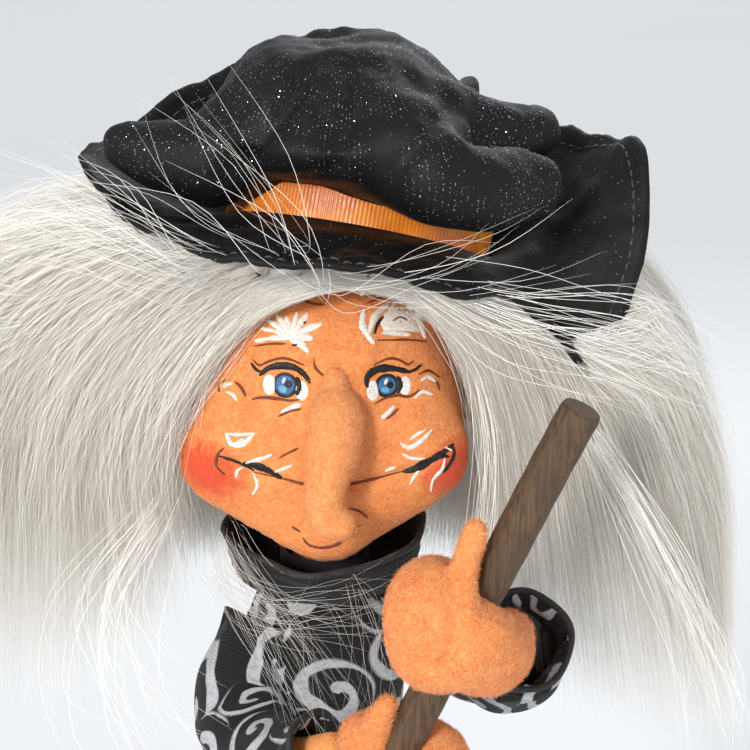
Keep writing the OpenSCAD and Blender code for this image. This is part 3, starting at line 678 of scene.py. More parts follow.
def metal(name, light, dark, rough=0.3):
    """Drawn or turned metal, brushed along one way."""
    shade = Shade(name, rough=rough, metallic=1.0)
    brushed = shade.noise(1.2, 4, shade.scaled(1, 1, 0.08))
    shade.colour(shade.mix(brushed, dark, light))
    shade.rough(shade.fit(brushed, 0.3, 0.7, rough - 0.06, rough + 0.16))
    return shade.bump(brushed, 0.04, 0.4)


def wood(name, light, dark):
    """Wood or foam with rings stretched along Y."""
    shade = Shade(name, rough=0.7)
    rings = shade.noise(2.4, 5, shade.scaled(1, 0.12, 1), twist=1.2)
    shade.colour(shade.mix(shade.fit(rings, 0.3, 0.7), dark, light))
    return shade.bump(rings, 0.12, 0.5)


def circuit():
    """Green board with raised tracks."""
    shade = Shade("circuit_board", rough=0.35, coat_weight=0.4)
    track = shade.fit(shade.wave(2.2, twist=3), 0.55, 0.62)
    shade.colour(shade.mix(track, rgb(14, 74, 40), rgb(26, 108, 60)))
    return shade.bump(track, 0.05, 0.5)


def stocking(name, light, dark, stripe=13.0):
    """Knitted tube in two wide stripes."""
    shade = Shade(name, rough=0.92, sheen_weight=0.4, sheen_roughness=0.5)
    height = shade.node("SeparateXYZ", {0: shade.place}).outputs[2]
    band = shade.math("FRACT", shade.math("MULTIPLY", height, 1 / (2 * stripe * MM)))
    edge = shade.math("ABSOLUTE", shade.math("SUBTRACT", band, 0.5))
    knit = shade.noise(0.9, 3)
    black = shade.mix(knit, dark, rgb(30, 29, 33))
    orange = shade.mix(knit, light, rgb(196, 84, 14))
    shade.colour(shade.mix(shade.fit(edge, 0.24, 0.26), black, orange))
    return shade.bump(knit, 0.2, 0.6)


# ---------- fibres ----------


def sample_surface(obj, count, rng):
    """Random points spread evenly over a mesh, with their normals."""
    mesh = obj.data
    mesh.calc_loop_triangles()
    corners = np.empty(len(mesh.loop_triangles) * 3, np.int32)
    mesh.loop_triangles.foreach_get("vertices", corners)
    points = read_points(obj)[corners.reshape(-1, 3)]
    cross = np.cross(points[:, 1] - points[:, 0], points[:, 2] - points[:, 0])
    area = np.linalg.norm(cross, axis=1)
    chosen = rng.choice(len(area), count, p=area / area.sum())
    a, b = np.sqrt(rng.random(count))[:, None], rng.random(count)[:, None]
    picked = points[chosen]
    place_at = (1 - a) * picked[:, 0] + a * (1 - b) * picked[:, 1] + a * b * picked[:, 2]
    return place_at, unit(cross[chosen])


def ribbons(paths, half_width, facing):
    """Flat strands along paths (n, k, 3): tapered, turned to face roughly along facing."""
    count, steps = paths.shape[:2]
    tangent = unit(np.gradient(paths, axis=1))
    side = unit(np.cross(tangent, facing))
    taper = np.interp(np.linspace(0, 1, steps), [0, 0.15, 0.7, 1], [0.8, 1, 0.8, 0.12])
    offset = side * (half_width[:, None] * taper)[..., None]
    points = np.stack([paths - offset, paths + offset], axis=2).reshape(-1, 3)
    start = (np.arange(count) * steps * 2)[:, None] + np.arange(steps - 1) * 2
    faces = np.stack([start, start + 1, start + 3, start + 2], axis=-1).reshape(-1, 4)
    return points, faces


def add_strands(name, paths, half_width, facing, body, materials, rng, share=None):
    """A piece of flat strands, each in one of its materials."""
    points, faces = ribbons(paths, half_width, facing)
    obj = add_piece(name, points, faces, body, materials)
    tone = rng.choice(len(materials), len(paths), p=share)
    obj.data.polygons.foreach_set("material_index", np.repeat(tone, paths.shape[1] - 1).astype(np.int32))
    return obj


MOST_FIBRES = 33000                 # keeps a piece of fibres under 200,000 triangles


def fuzz(name, obj, body, materials, count, length, width=0.05, lie=0.8, keep=None):
    """Loose surface fibres on a felt or fur piece: short bent strands that mostly lie down."""
    rng = seeded(name)
    root, normal = sample_surface(obj, count, rng)
    if keep is not None:
        chosen = keep(root, normal)
        root, normal = root[chosen][:MOST_FIBRES], normal[chosen][:MOST_FIBRES]
    count = len(root)
    reach = length * rng.uniform(0.5, 1.3, (count, 1))
    along = unit(np.cross(normal, rng.normal(size=(count, 3))))
    aside = np.cross(normal, along)
    lift = rng.uniform(0.1, 1, (count, 1)) * (1 - lie)
    curl = rng.normal(0, 0.35, (count, 1))
    steps = np.linspace(0, 1, 4)[None, :, None]
    paths = root[:, None] + along[:, None] * reach[:, None] * steps
    paths = paths + aside[:, None] * (reach * curl)[:, None] * steps ** 2
    paths = paths + normal[:, None] * (reach * lift)[:, None] * steps * (1.6 - steps * 0.9)
    paths = paths + normal[:, None] * 0.03
    half = np.full(count, width / 2) * rng.uniform(0.7, 1.3, count)
    facing = unit(normal + rng.normal(0, 0.35, (count, 3)))[:, None]
    return add_strands(name, paths, half, facing, body, materials, rng)


# ---------- the head ----------

SKIN = (rgb(253, 174, 106), rgb(232, 134, 68))


def cast_head(name):
    """A dense even skin over the CAD head's outside, with sockets, cheeks and smile lines pressed in."""
    points = to_head(node_points("face"))
    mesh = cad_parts["face"].data
    mesh.calc_loop_triangles()
    corners = np.empty(len(mesh.loop_triangles) * 3, np.int32)
    mesh.loop_triangles.foreach_get("vertices", corners)
    tree = BVHTree.FromPolygons(points.tolist(), corners.reshape(-1, 3).tolist())
    rows, columns = 180, 300
    polar = np.linspace(0.004, math.pi - 0.004, rows)
    turn = around(columns)
    direction = np.stack([
        np.outer(np.sin(polar), np.cos(turn)),
        np.outer(np.sin(polar), np.sin(turn)),
        np.outer(np.cos(polar), np.ones(columns)),
    ], axis=-1).reshape(-1, 3)
    middle = np.array([0, -2.0, 0])
    far, fallback = 90, 30

    def outside(ray):
        return tree.ray_cast(Vector(middle + ray * far), Vector(-ray))[0] or middle + ray * fallback

    hit = np.array([outside(ray) for ray in direction])
    radius = np.linalg.norm(hit - middle, axis=1).reshape(rows, columns)
    for _ in range(26):
        radius = (
            radius * 2 + np.roll(radius, 1, axis=1) + np.roll(radius, -1, axis=1)
            + radius[np.maximum(np.arange(rows) - 1, 0)] + radius[np.minimum(np.arange(rows) + 1, rows - 1)]
        ) / 6
    skin = middle + direction * radius.reshape(-1, 1)
    obj = make_object(name, make_mesh(name, from_head(skin), grid_faces(rows, columns, wrap=True)[:, ::-1]))
    sculpt_face(obj)
    return obj


def sculpt_face(obj):
    """Soft hollows and swellings, placed by (x, z) in the head frame on the front of the face."""
    points = to_head(read_points(obj))
    front = smooth_step(-6, -18, points[:, 1])
    change = 0.35 * ripple(points, 17, "face lumps")
    for x, z, wide, tall, lift in [
        (-8.5, 12, 9, 6, -1.5), (16, 11.5, 9, 6, -1.5), (-9, 25, 10, 5, 0.8), (17, 25, 10, 5, 0.8),
        (-23, -4, 9, 9, 1.3), (28, -4, 8, 9, 1.3), (1, -27, 9, 5, 1.0), (2, -15, 12, 4, 0.4),
    ]:
        reach = np.hypot((points[:, 0] - x) / wide, (points[:, 2] - z) / tall)
        change += lift * bell(reach, 1) * front
    smile = np.array([
        [-24, 0, -5.5], [-17, 0, -8.5], [-9.7, 0, -10.6], [-2, 0, -12], [6, 0, -12], [16, 0, -9.9],
        [24, 0, -7.4], [30, 0, -4.5],
    ])
    distance, _ = near_path(points * [1, 0, 1], smile)
    change -= 0.75 * bell(distance, 0.9) * front
    below, _ = near_path(points * [1, 0, 1], smile - [0, 0, 3])
    change += 0.35 * bell(below, 2) * front
    push(obj, change)


class Painter:
    """Collects brush strokes as thin raised films that follow the face."""

    def __init__(self, face):
        faces = [list(p.vertices) for p in face.data.polygons]
        self.tree = BVHTree.FromPolygons(to_head(read_points(face)).tolist(), faces)
        self.rng = seeded("brush")
        self.films = {}
        self.covered = []

    def on_face(self, flat, lift):
        """Points [x, z] of the head frame laid on the face, each lifted off it by its share of lift."""
        points = np.empty((len(flat), 3))
        for k, (x, z) in enumerate(flat):
            spot, normal = self.tree.ray_cast(Vector((x, -80, z)), Vector((0, 1, 0)))[:2]
            if spot is None:
                spot, normal = self.tree.find_nearest(Vector((x, -20, z)))[:2]
            points[k] = np.array(spot) + np.array(normal) * (lift[k] if abs(normal.y) > 0.05 else 0.2)
        return points

    def add(self, colour, points, faces):
        self.films.setdefault(colour, []).append((from_head(points), faces))

    def stroke(self, colour, path, width, lift=0.3, taper=0.5, rough=0.14):
        """One pull of the brush along path, widest in the middle."""
        path = np.array([[x, z, 0.0] for x, z in path])
        length = np.linalg.norm(np.diff(path, axis=0), axis=1).sum()
        count = max(6, int(length / 0.3))
        middle = spline(path, count)[:, :2]
        along = unit(np.gradient(middle, axis=0))
        across = np.stack([-along[:, 1], along[:, 0]], axis=1)
        t = np.linspace(0, 1, count)
        half = width / 2 * np.clip(np.sin(math.pi * t) ** taper, 0.12, 1)
        wobble = np.convolve(self.rng.normal(0, 1, count + 4), np.ones(5) / 5, "valid") * rough * 2
        half = half * (1 + wobble)
        lanes = np.array([-1, -0.6, 0, 0.6, 1])
        height = np.array([0.1, 0.85, 1, 0.85, 0.1])
        flat = middle[:, None] + across[:, None] * (half[:, None] * lanes)[..., None]
        lifts = lift * height * (1 + self.rng.normal(0, 0.12, (count, 1)))
        points = self.on_face(flat.reshape(-1, 2), lifts.ravel())
        self.add(colour, points, grid_faces(count, len(lanes)))
        self.covered.append(np.column_stack([middle, half]))

    def patch(self, colour, outline, lift=0.3, rings=4):
        """A filled shape, star-shaped round its middle."""
        outline = np.asarray(outline, float)
        middle = outline.mean(axis=0)
        share = np.linspace(0, 1, rings + 1)[1:]
        share = np.concatenate([[0.05], share])[:, None, None]
        flat = middle + (outline - middle) * share
        lifts = np.repeat(np.append(np.full(rings, lift), 0.05), len(outline))
        points = self.on_face(flat.reshape(-1, 2), lifts)
        self.add(colour, points, grid_faces(rings + 1, len(outline), wrap=True))
        reach = np.linalg.norm(outline - middle, axis=1).mean()
        self.covered.append(np.array([[*middle, reach]]))

    def spot(self, colour, middle, half_wide, half_tall, lift=0.3, lean=0.0):
        """A filled ellipse, leaning by an angle in degrees."""
        angle = around(28)
        turn = math.radians(lean)
        x, z = half_wide * np.cos(angle), half_tall * np.sin(angle)
        ring = np.column_stack([x, z]) @ [[math.cos(turn), math.sin(turn)], [-math.sin(turn), math.cos(turn)]]
        self.patch(colour, ring + middle, lift)

    def finish(self, colours):
        for colour, material in colours.items():
            points, faces = join_grids(self.films[colour])
            add_piece("paint_" + colour, points, faces, "head", material)

    def bare(self, points):
        """Which points have no paint under them, so that felt fibres may stand there."""
        flat = to_head(points)
        clear = np.ones(len(points), bool)
        for film in self.covered:
            for x, z, half in film[::3] if len(film) > 3 else film:
                clear &= np.hypot(flat[:, 0] - x, flat[:, 2] - z) > half + 0.35
        return clear | (flat[:, 1] > -5)


def paint_eye(brush, iris, pupil, size, whites, shine):
    """White, blue iris, pupil and a slanted highlight."""
    for x, z, wide, tall in whites:
        brush.spot("white", (x, z), wide, tall, lift=0.2)
    brush.spot("black", iris, size + 0.35, size + 0.35, lift=0.24)
    brush.spot("blue", iris, size, size, lift=0.34)
    brush.spot("sky", (iris[0] - 0.5, iris[1] - 1.0), size * 0.5, size * 0.38, lift=0.4, lean=-20)
    brush.spot("black", pupil, 1.05, 1.1, lift=0.46)
    brush.spot("white", shine, 0.42, 0.95, lift=0.56, lean=-20)


# Brush strokes in the order they are made: colour, path by (x, z) in the head frame, width.
FACE_STROKES = [
    ("black", [(-5.7, 14.4), (-4.9, 12.2), (-5.6, 10)], 1.5),
    ("black", [(-14.6, 14.4), (-12.3, 16.3), (-9.2, 17), (-6.1, 16.6), (-3.8, 15), (-2.3, 12.9)], 1.9),
    ("black", [(-13.6, 15.1), (-15.4, 15.9), (-16.6, 17.4)], 0.8),
    ("brown", [(-16.2, 18.2), (-14.6, 16.9), (-12.3, 17.9), (-9.2, 18.8), (-6.7, 18.4), (-3.4, 17)], 0.7),
    ("brown", [(-16.4, 8.6), (-15.2, 9.1), (-12.8, 9.3), (-9.7, 9.1), (-7.2, 8.8), (-4.6, 9.2)], 0.75),
    ("brown", [(-1.5, 18.9), (-1.2, 16.8), (0.3, 15.2), (1.3, 14.5), (1.2, 12.6)], 0.65),
    ("brown", [(-10, 4.9), (-7.4, 6.3), (-4.4, 6.9)], 0.7),
    ("white", [(-9.4, 5.8), (-6.8, 7.2), (-4.2, 8.1)], 1.3),
    ("black", [(18.3, 14), (19, 11.8), (18.4, 9.8)], 1.5),
    ("black", [(11.2, 11.6), (11.1, 14), (12.9, 15.7), (15.5, 16.1), (18.6, 15.6), (21.6, 14.6)], 1.9),
    ("black", [(20.6, 14.9), (22.6, 15.2), (24.2, 16.3)], 0.8),
    ("brown", [(12.5, 17), (16, 18.3), (18.6, 17.9), (20.9, 16.6), (22.1, 17.4)], 0.7),
    ("brown", [(12.7, 7.7), (15.5, 8.9), (18.6, 9.4), (21.2, 9), (23.8, 10.4)], 0.75),
    ("white", [(14.4, 4.2), (16, 5.4), (17.8, 7.1)], 1.2),
    ("brown", [(15.6, 4), (17, 4.9), (18.6, 6.4)], 0.6),
    ("white", [(-23.6, 10.9), (-22.6, 11.9), (-20.9, 12.2)], 0.9),
    ("white", [(-22.9, 10.1), (-21.1, 9.5), (-20, 8)], 0.9),
    ("brown", [(-24.4, 9.8), (-24.6, 11.6), (-22.6, 13)], 0.6),
    ("brown", [(-20.6, 12.6), (-18.9, 11.2), (-17.8, 9.2)], 0.8),
    ("white", [(23.9, 12.4), (25.8, 13.2), (27.7, 11.8)], 0.95),
    ("white", [(22.4, 8.4), (24.5, 9.9), (27, 8.9)], 0.95),
    ("brown", [(23.4, 14), (26, 14.6), (28.6, 12.6)], 0.6),
    ("brown", [(28.4, 9.6), (28.2, 11.2), (27.2, 12.4)], 0.55),
    ("brown", [(-14.1, 30.1), (-9.2, 32.2), (-4.4, 34.2)], 0.6),
    ("brown", [(-6.3, 32.8), (-2, 31.2), (0.8, 30.9)], 0.55),
    ("brown", [(11, 31), (15.5, 32.4), (19.1, 33.6), (22.9, 33)], 0.65),
    ("white", [(-22.8, 0.6), (-21.1, -2.2), (-18.4, -0.6)], 1.1),
    ("white", [(-20.9, -2.5), (-18.6, -2), (-15.6, 0.9)], 1.2),
    ("white", [(-22.6, 0.4), (-19.3, 0.3), (-15.6, 0.8)], 0.8),
    ("white", [(19, -1.7), (21.2, -3), (24.3, -1.3), (26.8, 1.1)], 1.15),
    ("white", [(21.2, -1.2), (23.2, 0.2), (25.4, 1.2)], 0.9),
    ("brown", [(-23.2, -3), (-24.9, -5), (-25, -7.6), (-23, -9.7)], 0.75),
    ("black", [(-24.6, -5.1), (-20.1, -6.3), (-15.9, -8.7)], 0.8),
    ("black", [(-18.6, -6.6), (-13.6, -8), (-9.2, -10.6)], 2.0),
    ("brown", [(-16.5, -9), (-9.7, -10.4), (-4.6, -11.6), (0, -12.2), (5.5, -12), (11.4, -11.1), (16.5, -9.8),
               (20.5, -8.8)], 0.75),
    ("black", [(19.4, -9.2), (22.4, -8.4), (26.4, -6.3), (30.6, -4), (31.9, -2.9)], 1.9),
    ("black", [(31.6, -3), (32.1, -5.4), (30.6, -8.2), (29.2, -9.6)], 1.0),
    ("black", [(26, -6.4), (28.4, -5.6), (31, -5.8)], 1.3),
    ("brown", [(-9.9, -5.3), (-7.7, -4), (-5.2, -2.7)], 0.7),
    ("white", [(-18.4, -6.7), (-15.9, -6), (-13.3, -5.2), (-11.6, -4.4)], 0.95),
    ("white", [(-11, -8.8), (-8.7, -7.9), (-6.7, -7)], 0.9),
    ("white", [(-20.4, -10.4), (-20, -8.7), (-18.6, -7.8)], 0.75),
    ("white", [(-16.4, -8.9), (-15.5, -11), (-15.4, -12.8), (-16.6, -14.9)], 0.9),
    ("white", [(19.4, -4.4), (21.7, -5.6), (24.9, -5.8)], 0.9),
    ("white", [(15.4, -8.8), (17.9, -7.8)], 0.8),
    ("white", [(21.3, -12.5), (22.5, -10.2), (23.6, -8.8)], 0.8),
    ("white", [(26.5, -14.6), (27.1, -11.3), (29.2, -8.7), (29.8, -6)], 0.9),
    ("white", [(29.8, -3.4), (31.6, -4.5)], 0.7),
    ("brown", [(-4.5, -25.4), (-3, -27.4), (0.6, -28), (4.2, -26.9), (6.3, -24.3), (9.5, -22.5)], 0.9),
    ("brown", [(-7.1, -22.8), (-5, -24.1)], 0.7),
    ("brown", [(6.5, -17.8), (9.3, -18.8), (11.3, -20.8)], 0.6),
]


def paint_face(face):
    """The whole painted face, from the eyes outward."""
    brush = Painter(face)
    whites = [(-12.1, 12.4, 1.6, 2.4), (-4.4, 11.2, 1.6, 2.3)]
    paint_eye(brush, (-8.35, 12.4), (-7.5, 12.6), 2.7, whites, (-8.6, 13.5))
    whites = [(12.5, 10.9, 1.5, 2.4), (20.2, 11.6, 1.4, 2.3)]
    paint_eye(brush, (15.8, 11.9), (16.5, 12.0), 2.55, whites, (15.5, 12.9))
    for colour, path, width in FACE_STROKES:
        brush.stroke(colour, path, width)
    paint_fan_brow(brush)
    paint_arched_brow(brush)
    return brush


def paint_fan_brow(brush):
    """Her right eyebrow: a fan of white hairs from one root."""
    root = (-7.4, 23.4)
    for tip, width in [
        ((-15.8, 22.4), 1.2), ((-14.4, 25.4), 1.1), ((-12.6, 27.2), 1.4), ((-10.6, 28.6), 1.4),
         ((-8.2, 28.2), 1.3),
        ((-5.6, 29.2), 1.4), ((-3, 29), 1.5), ((0.4, 26.8), 1.5), ((-1.6, 23.4), 1.6), ((-2.6, 20.2), 1.6),
    ]:
        bend = ((root[0] + tip[0]) / 2 + 0.3, (root[1] + tip[1]) / 2 + 0.5)
        brush.stroke("white", [root, bend, tip], width, lift=0.4, taper=0.35)
    brush.stroke("black", [(-8.4, 24.6), (-5.6, 26.4), (-3.4, 27.2)], 1.0, lift=0.3)
    brush.stroke("black", [(-6.8, 21.8), (-4.8, 22.2), (-3, 21.4)], 0.9, lift=0.3)
    brush.stroke("brown", [(-16.2, 21.2), (-12, 22), (-8, 22.2)], 0.6)


def paint_arched_brow(brush):
    """Her left eyebrow: a white patch with brushed edges."""
    brush.patch("white", [(15.2, 24.4), (14.2, 26.6), (15.2, 28.6), (16.8, 29.5), (19.6, 29.4), (21.7, 27.9),
                          (23.6, 25.7), (24.6, 23.4), (21.6, 24.2), (18.2, 24.5)], lift=0.4)
    for path, width in [
        ([(10.4, 29.8), (10.1, 26.2), (12.8, 22)], 1.5), ([(11.6, 24.4), (13.2, 28.4), (16.4, 30.6)], 1.5),
        ([(20.4, 28.6), (23.6, 26.2), (25.2, 22.2)], 1.4), ([(14.6, 24.4), (17.8, 24.2), (21.6, 23.4)], 1.1),
        ([(16.4, 29), (18.2, 30.8), (20.4, 30.6)], 1.0),
    ]:
        brush.stroke("white", path, width, lift=0.42, taper=0.35)
    brush.stroke("brown", [(13.4, 22.8), (17, 22.6), (20.8, 22.4), (25.6, 21.4)], 0.6)
    brush.stroke("black", [(12.8, 24.2), (13.6, 26.4), (15, 28)], 0.7, lift=0.36)
    brush.stroke("brown", [(17, 26.6), (19, 27.4), (21.4, 26)], 0.6, lift=0.52)


NOSE = [
    [[3.4, -27, 14], 3.2], [[3.5, -28, 9], 4.6], [[3.8, -30, 4.6], 6.9], [[3.3, -32, -2], 6.7],
    [[1.8, -33.5, -9], 5.3], [[1, -34.5, -15], 4.8], [[2.2, -35.4, -18.5], 4.4], [[5.1, -36, -19.6], 3.8],
]


def build_head():
    """Felt face with its paint and fibres, and the long drooping nose."""
    brows = [
        (from_head([-27, -20, -9]), (10, 14, 8.5), 0.92), (from_head([31.5, -18, -9]), (8.5, 14, 8), 0.9),
        (from_head([4.5, -40, -19]), (5, 6, 4), 0.25), (from_head([2, -30, -29]), (7, 8, 3), 0.22),
    ]
    skin = face_felt(brows)
    fibre = [plain("skin_fibre_light", rgb(255, 196, 136), rough=0.9, sheen_weight=0.3),
             plain("skin_fibre_dark", rgb(242, 150, 82), rough=0.9, sheen_weight=0.3)]
    rosy = [plain("blush_fibre", rgb(232, 108, 74), rough=0.9, sheen_weight=0.4)]
    face = cast_head("face_skin")
    brush = paint_face(face)
    place(face, "head", skin, ["face"])
    brush.finish({
        "white": paint("white_paint", rgb(250, 248, 244), rgb(226, 214, 200)),
        "black": paint("black_paint", rgb(14, 12, 14), rgb(38, 28, 26)),
        "brown": paint("brown_paint", rgb(104, 46, 26), rgb(140, 72, 40)),
        "blue": paint("blue_paint", rgb(58, 120, 168), rgb(38, 92, 142)),
        "sky": paint("sky_paint", rgb(122, 176, 210), rgb(92, 150, 194)),
    })

    def rosy_spot(points):
        reach = np.full(len(points), 9.0)
        for centre, size, _ in brows[:2]:
            reach = np.minimum(reach, np.linalg.norm((points - centre) / size, axis=1))
        return reach < 1

    def front(points):
        flat = to_head(points)
        return (flat[:, 1] < 2) & (flat[:, 2] < 38) & brush.bare(points)

    fuzz("face_fuzz", face, "head", fibre, 90000, 1.3, width=0.06, lie=0.78,
         keep=lambda points, normals: front(points) & ~rosy_spot(points))
    fuzz("blush_fuzz", face, "head", rosy, 60000, 1.1, width=0.06,
         keep=lambda points, normals: front(points) & rosy_spot(points))
    nose = blob("nose_felt", [[(from_head(c), r) for c, r in NOSE]], voxel=0.7, smoothing=8)
    crease(nose, from_head([[-1.6, -33, 6], [-2.4, -36, -3], [-2.2, -37, -12]]), 0.35, 1.2)
    place(nose, "head", felt("nose_felt", rgb(253, 190, 122), rgb(236, 152, 84)).material, ["nose"])
    fuzz("nose_fuzz", nose, "head", fibre, 22000, 1.3, width=0.06, lie=0.7)


# ---------- the wig ----------


def sheet(rng, front, back, count, steps, spread, clumps, gather, frizz):
    """Strands between a front row and a back row of guide curves: each picks a place across and in depth, is
    drawn to the curve of its lock, and wanders more towards its tip."""
    front, back = np.asarray(front, float), np.asarray(back, float)

    def at(across, depth):
        k = np.clip(across * (len(front) - 1), 0, len(front) - 1.001)
        i, f = k.astype(int), (k % 1)[:, None, None]
        near = lerp(front[i], front[i + 1], f)
        far = lerp(back[i], back[i + 1], f)
        return lerp(near, far, depth[:, None, None])

    def shaped(across, depth, amount):
        row = at(across, depth)
        grow = np.linspace(0.15, 1, row.shape[1])[None, :, None]
        whole = rng.normal(0, 1, (len(row), 1, 3)) * grow * amount
        return row + whole + rng.normal(0, 0.35, row.shape) * grow * amount

    lock = rng.integers(0, clumps, count)
    lock_across, lock_depth = rng.random(clumps), rng.random(clumps) ** 1.3
    lock_paths = shaped(lock_across, lock_depth, spread)
    across = np.clip(lock_across[lock] + rng.normal(0, 0.05, count), 0, 1)
    depth = np.clip(lock_depth[lock] + rng.normal(0, 0.08, count), 0, 1)
    paths = shaped(across, depth, spread * 0.6)
    pull = np.linspace(0.1, 1, front.shape[1])[None, :, None] * gather * rng.uniform(0.3, 1, (count, 1, 1))
    paths = lerp(paths, lock_paths[lock], pull)
    length = rng.uniform(0.62, 1.0, count) ** 0.7
    full = spline(paths, steps * 3)
    where = np.linspace(0, 1, steps)[None, :] * length[:, None] * (steps * 3 - 1)
    low = np.minimum(where.astype(int), steps * 3 - 2)
    rows = np.arange(count)[:, None]
    picked = lerp(full[rows, low], full[rows, low + 1], (where - low)[..., None])
    t = np.linspace(0, 1, steps)[None, :, None]
    phase = rng.uniform(0, 2 * math.pi, (count, 1, 3))
    waves = rng.uniform(4, 11, (count, 1, 3))
    return picked + np.sin(t * waves + phase) * frizz * t ** 0.8 * rng.uniform(0.3, 1.4, (count, 1, 1))


LEFT_FRONT = [
    [(3, -9, 408), (-6, -13.5, 406.5), (-15, -15, 403.5), (-28, -16.5, 389.5), (-36, -15.5, 375),
     (-38.5, -14, 359),
     (-33, -8, 332)],
    [(-2, -6, 411), (-12, -14, 410), (-24, -17, 405), (-38, -19, 391), (-46, -19, 375), (-48, -17, 354),
     (-44, -12, 310)],
    [(-8, -8, 414), (-20, -16, 415), (-36, -20, 410), (-52, -22, 395), (-62, -21, 376),
     (-67, -17, 346), (-70, -10, 291)],
    [(-14, -10, 417), (-28, -19, 420), (-46, -22, 417), (-66, -21, 403), (-81, -17, 381), (-88, -12, 346),
     (-92, -4, 288)],
    [(-18, -12, 418), (-34, -20, 423), (-56, -20, 424), (-80, -14, 415), (-99, -8, 396), (-110, -2, 364),
     (-114, 4, 312)],
]
LEFT_BACK = [
    [(-20, 20, 400), (-30, 22, 396), (-36, 22, 388), (-42, 24, 374), (-46, 26, 358), (-48, 26, 338),
     (-51, 24, 300)],
    [(-22, 20, 405), (-34, 24, 403), (-44, 26, 395), (-54, 30, 380), (-60, 32, 362), (-63, 30, 334),
     (-65, 26, 290)],
    [(-24, 18, 410), (-38, 24, 410), (-52, 28, 404), (-66, 32, 388), (-74, 34, 368), (-79, 32, 336),
     (-82, 26, 284)],
    [(-24, 16, 414), (-40, 22, 418), (-58, 26, 414), (-76, 30, 400), (-88, 32, 378), (-94, 30, 344),
     (-98, 24, 292)],
    [(-24, 14, 417), (-42, 20, 423), (-64, 24, 422), (-86, 24, 410), (-102, 24, 390), (-110, 20, 358),
     (-112, 16, 314)],
]
RIGHT_FRONT = [
    [(9, -9, 408), (18, -13.5, 406.5), (27, -15.5, 402), (35.5, -16.5, 388), (39, -15.5, 373), (41, -14, 352),
     (43, -12, 314)],
    [(14, -8, 411), (26, -15, 411), (37, -18, 404), (45, -18, 389), (51, -17, 371), (56, -16, 342),
     (62, -12, 290)],
    [(18, -9, 414), (32, -17, 415), (46, -21, 408), (58, -22, 391), (68, -20, 370), (78, -15, 334),
     (89, -8, 274)],
    [(22, -10, 416), (38, -20, 418), (55, -24, 411), (71, -24, 394), (84, -20, 371), (96, -14, 332),
     (107, -6, 272)],
    [(26, -10, 417), (42, -18, 420), (60, -20, 413), (78, -20, 399), (92, -17, 379), (102, -12, 344),
     (109, -4, 292)],
]
RIGHT_BACK = [
    [(22, 20, 400), (32, 22, 396), (38, 22, 388), (43, 24, 374), (46, 26, 358), (48, 26, 336), (51, 24, 302)],
    [(24, 20, 405), (36, 24, 403), (46, 26, 394), (54, 30, 378), (60, 32, 358), (64, 30, 328), (70, 24, 286)],
    [(26, 18, 410), (40, 24, 410), (54, 28, 402), (66, 32, 384), (75, 34, 362), (83, 32, 324), (91, 24, 276)],
    [(28, 16, 413), (44, 22, 416), (60, 26, 410), (76, 30, 394), (88, 32, 372), (97, 28, 334),
     (106, 20, 276)],
    [(28, 14, 415), (46, 20, 420), (66, 24, 417), (84, 26, 402), (97, 26, 380), (104, 20, 344),
     (109, 14, 296)],
]


FRINGE_LEFT = [
    [(9, -21, 409), (0, -23, 408.5), (-10, -22, 405), (-20, -20, 398.5), (-29, -18, 388), (-35, -16.5, 375),
     (-38, -14, 358)],
    [(9, -17, 411), (-2, -20, 411.5), (-14, -20, 409), (-26, -19.5, 402), (-37, -18.5, 389), (-43, -17, 373),
     (-46, -14, 348)],
]
FRINGE_RIGHT = [
    [(7, -21, 409), (16, -23, 408), (24, -21.5, 404), (31, -19.5, 396), (36, -18, 385),
     (39, -16, 372), (41, -14, 352)],
    [(7, -17, 411), (19, -20, 411), (30, -20, 407), (40, -19.5, 398), (47, -18.5, 384),
     (51, -17, 367), (54, -14, 340)],
]


def back_row(deeper):
    """Guide curves round the back of the head, from her right to her left."""
    rows = []
    for turn in np.linspace(-1.15, 1.15, 7):
        reach = np.array([22, 38, 46, 51, 53, 52, 49]) - deeper
        height = np.array([409, 405, 392, 374, 354, 334, 312 + 8 * abs(turn)])
        sweep = turn * np.linspace(0.8, 1.15, 7)
        rows.append(np.column_stack([2 + reach * np.sin(sweep), 4 + reach * np.cos(sweep), height]))
    return rows


HAIR_GLOW = 0.03                      # painted glow: the hair gives off this much light of its own, in place of the light passed on from strand to strand, which flat strands can't carry
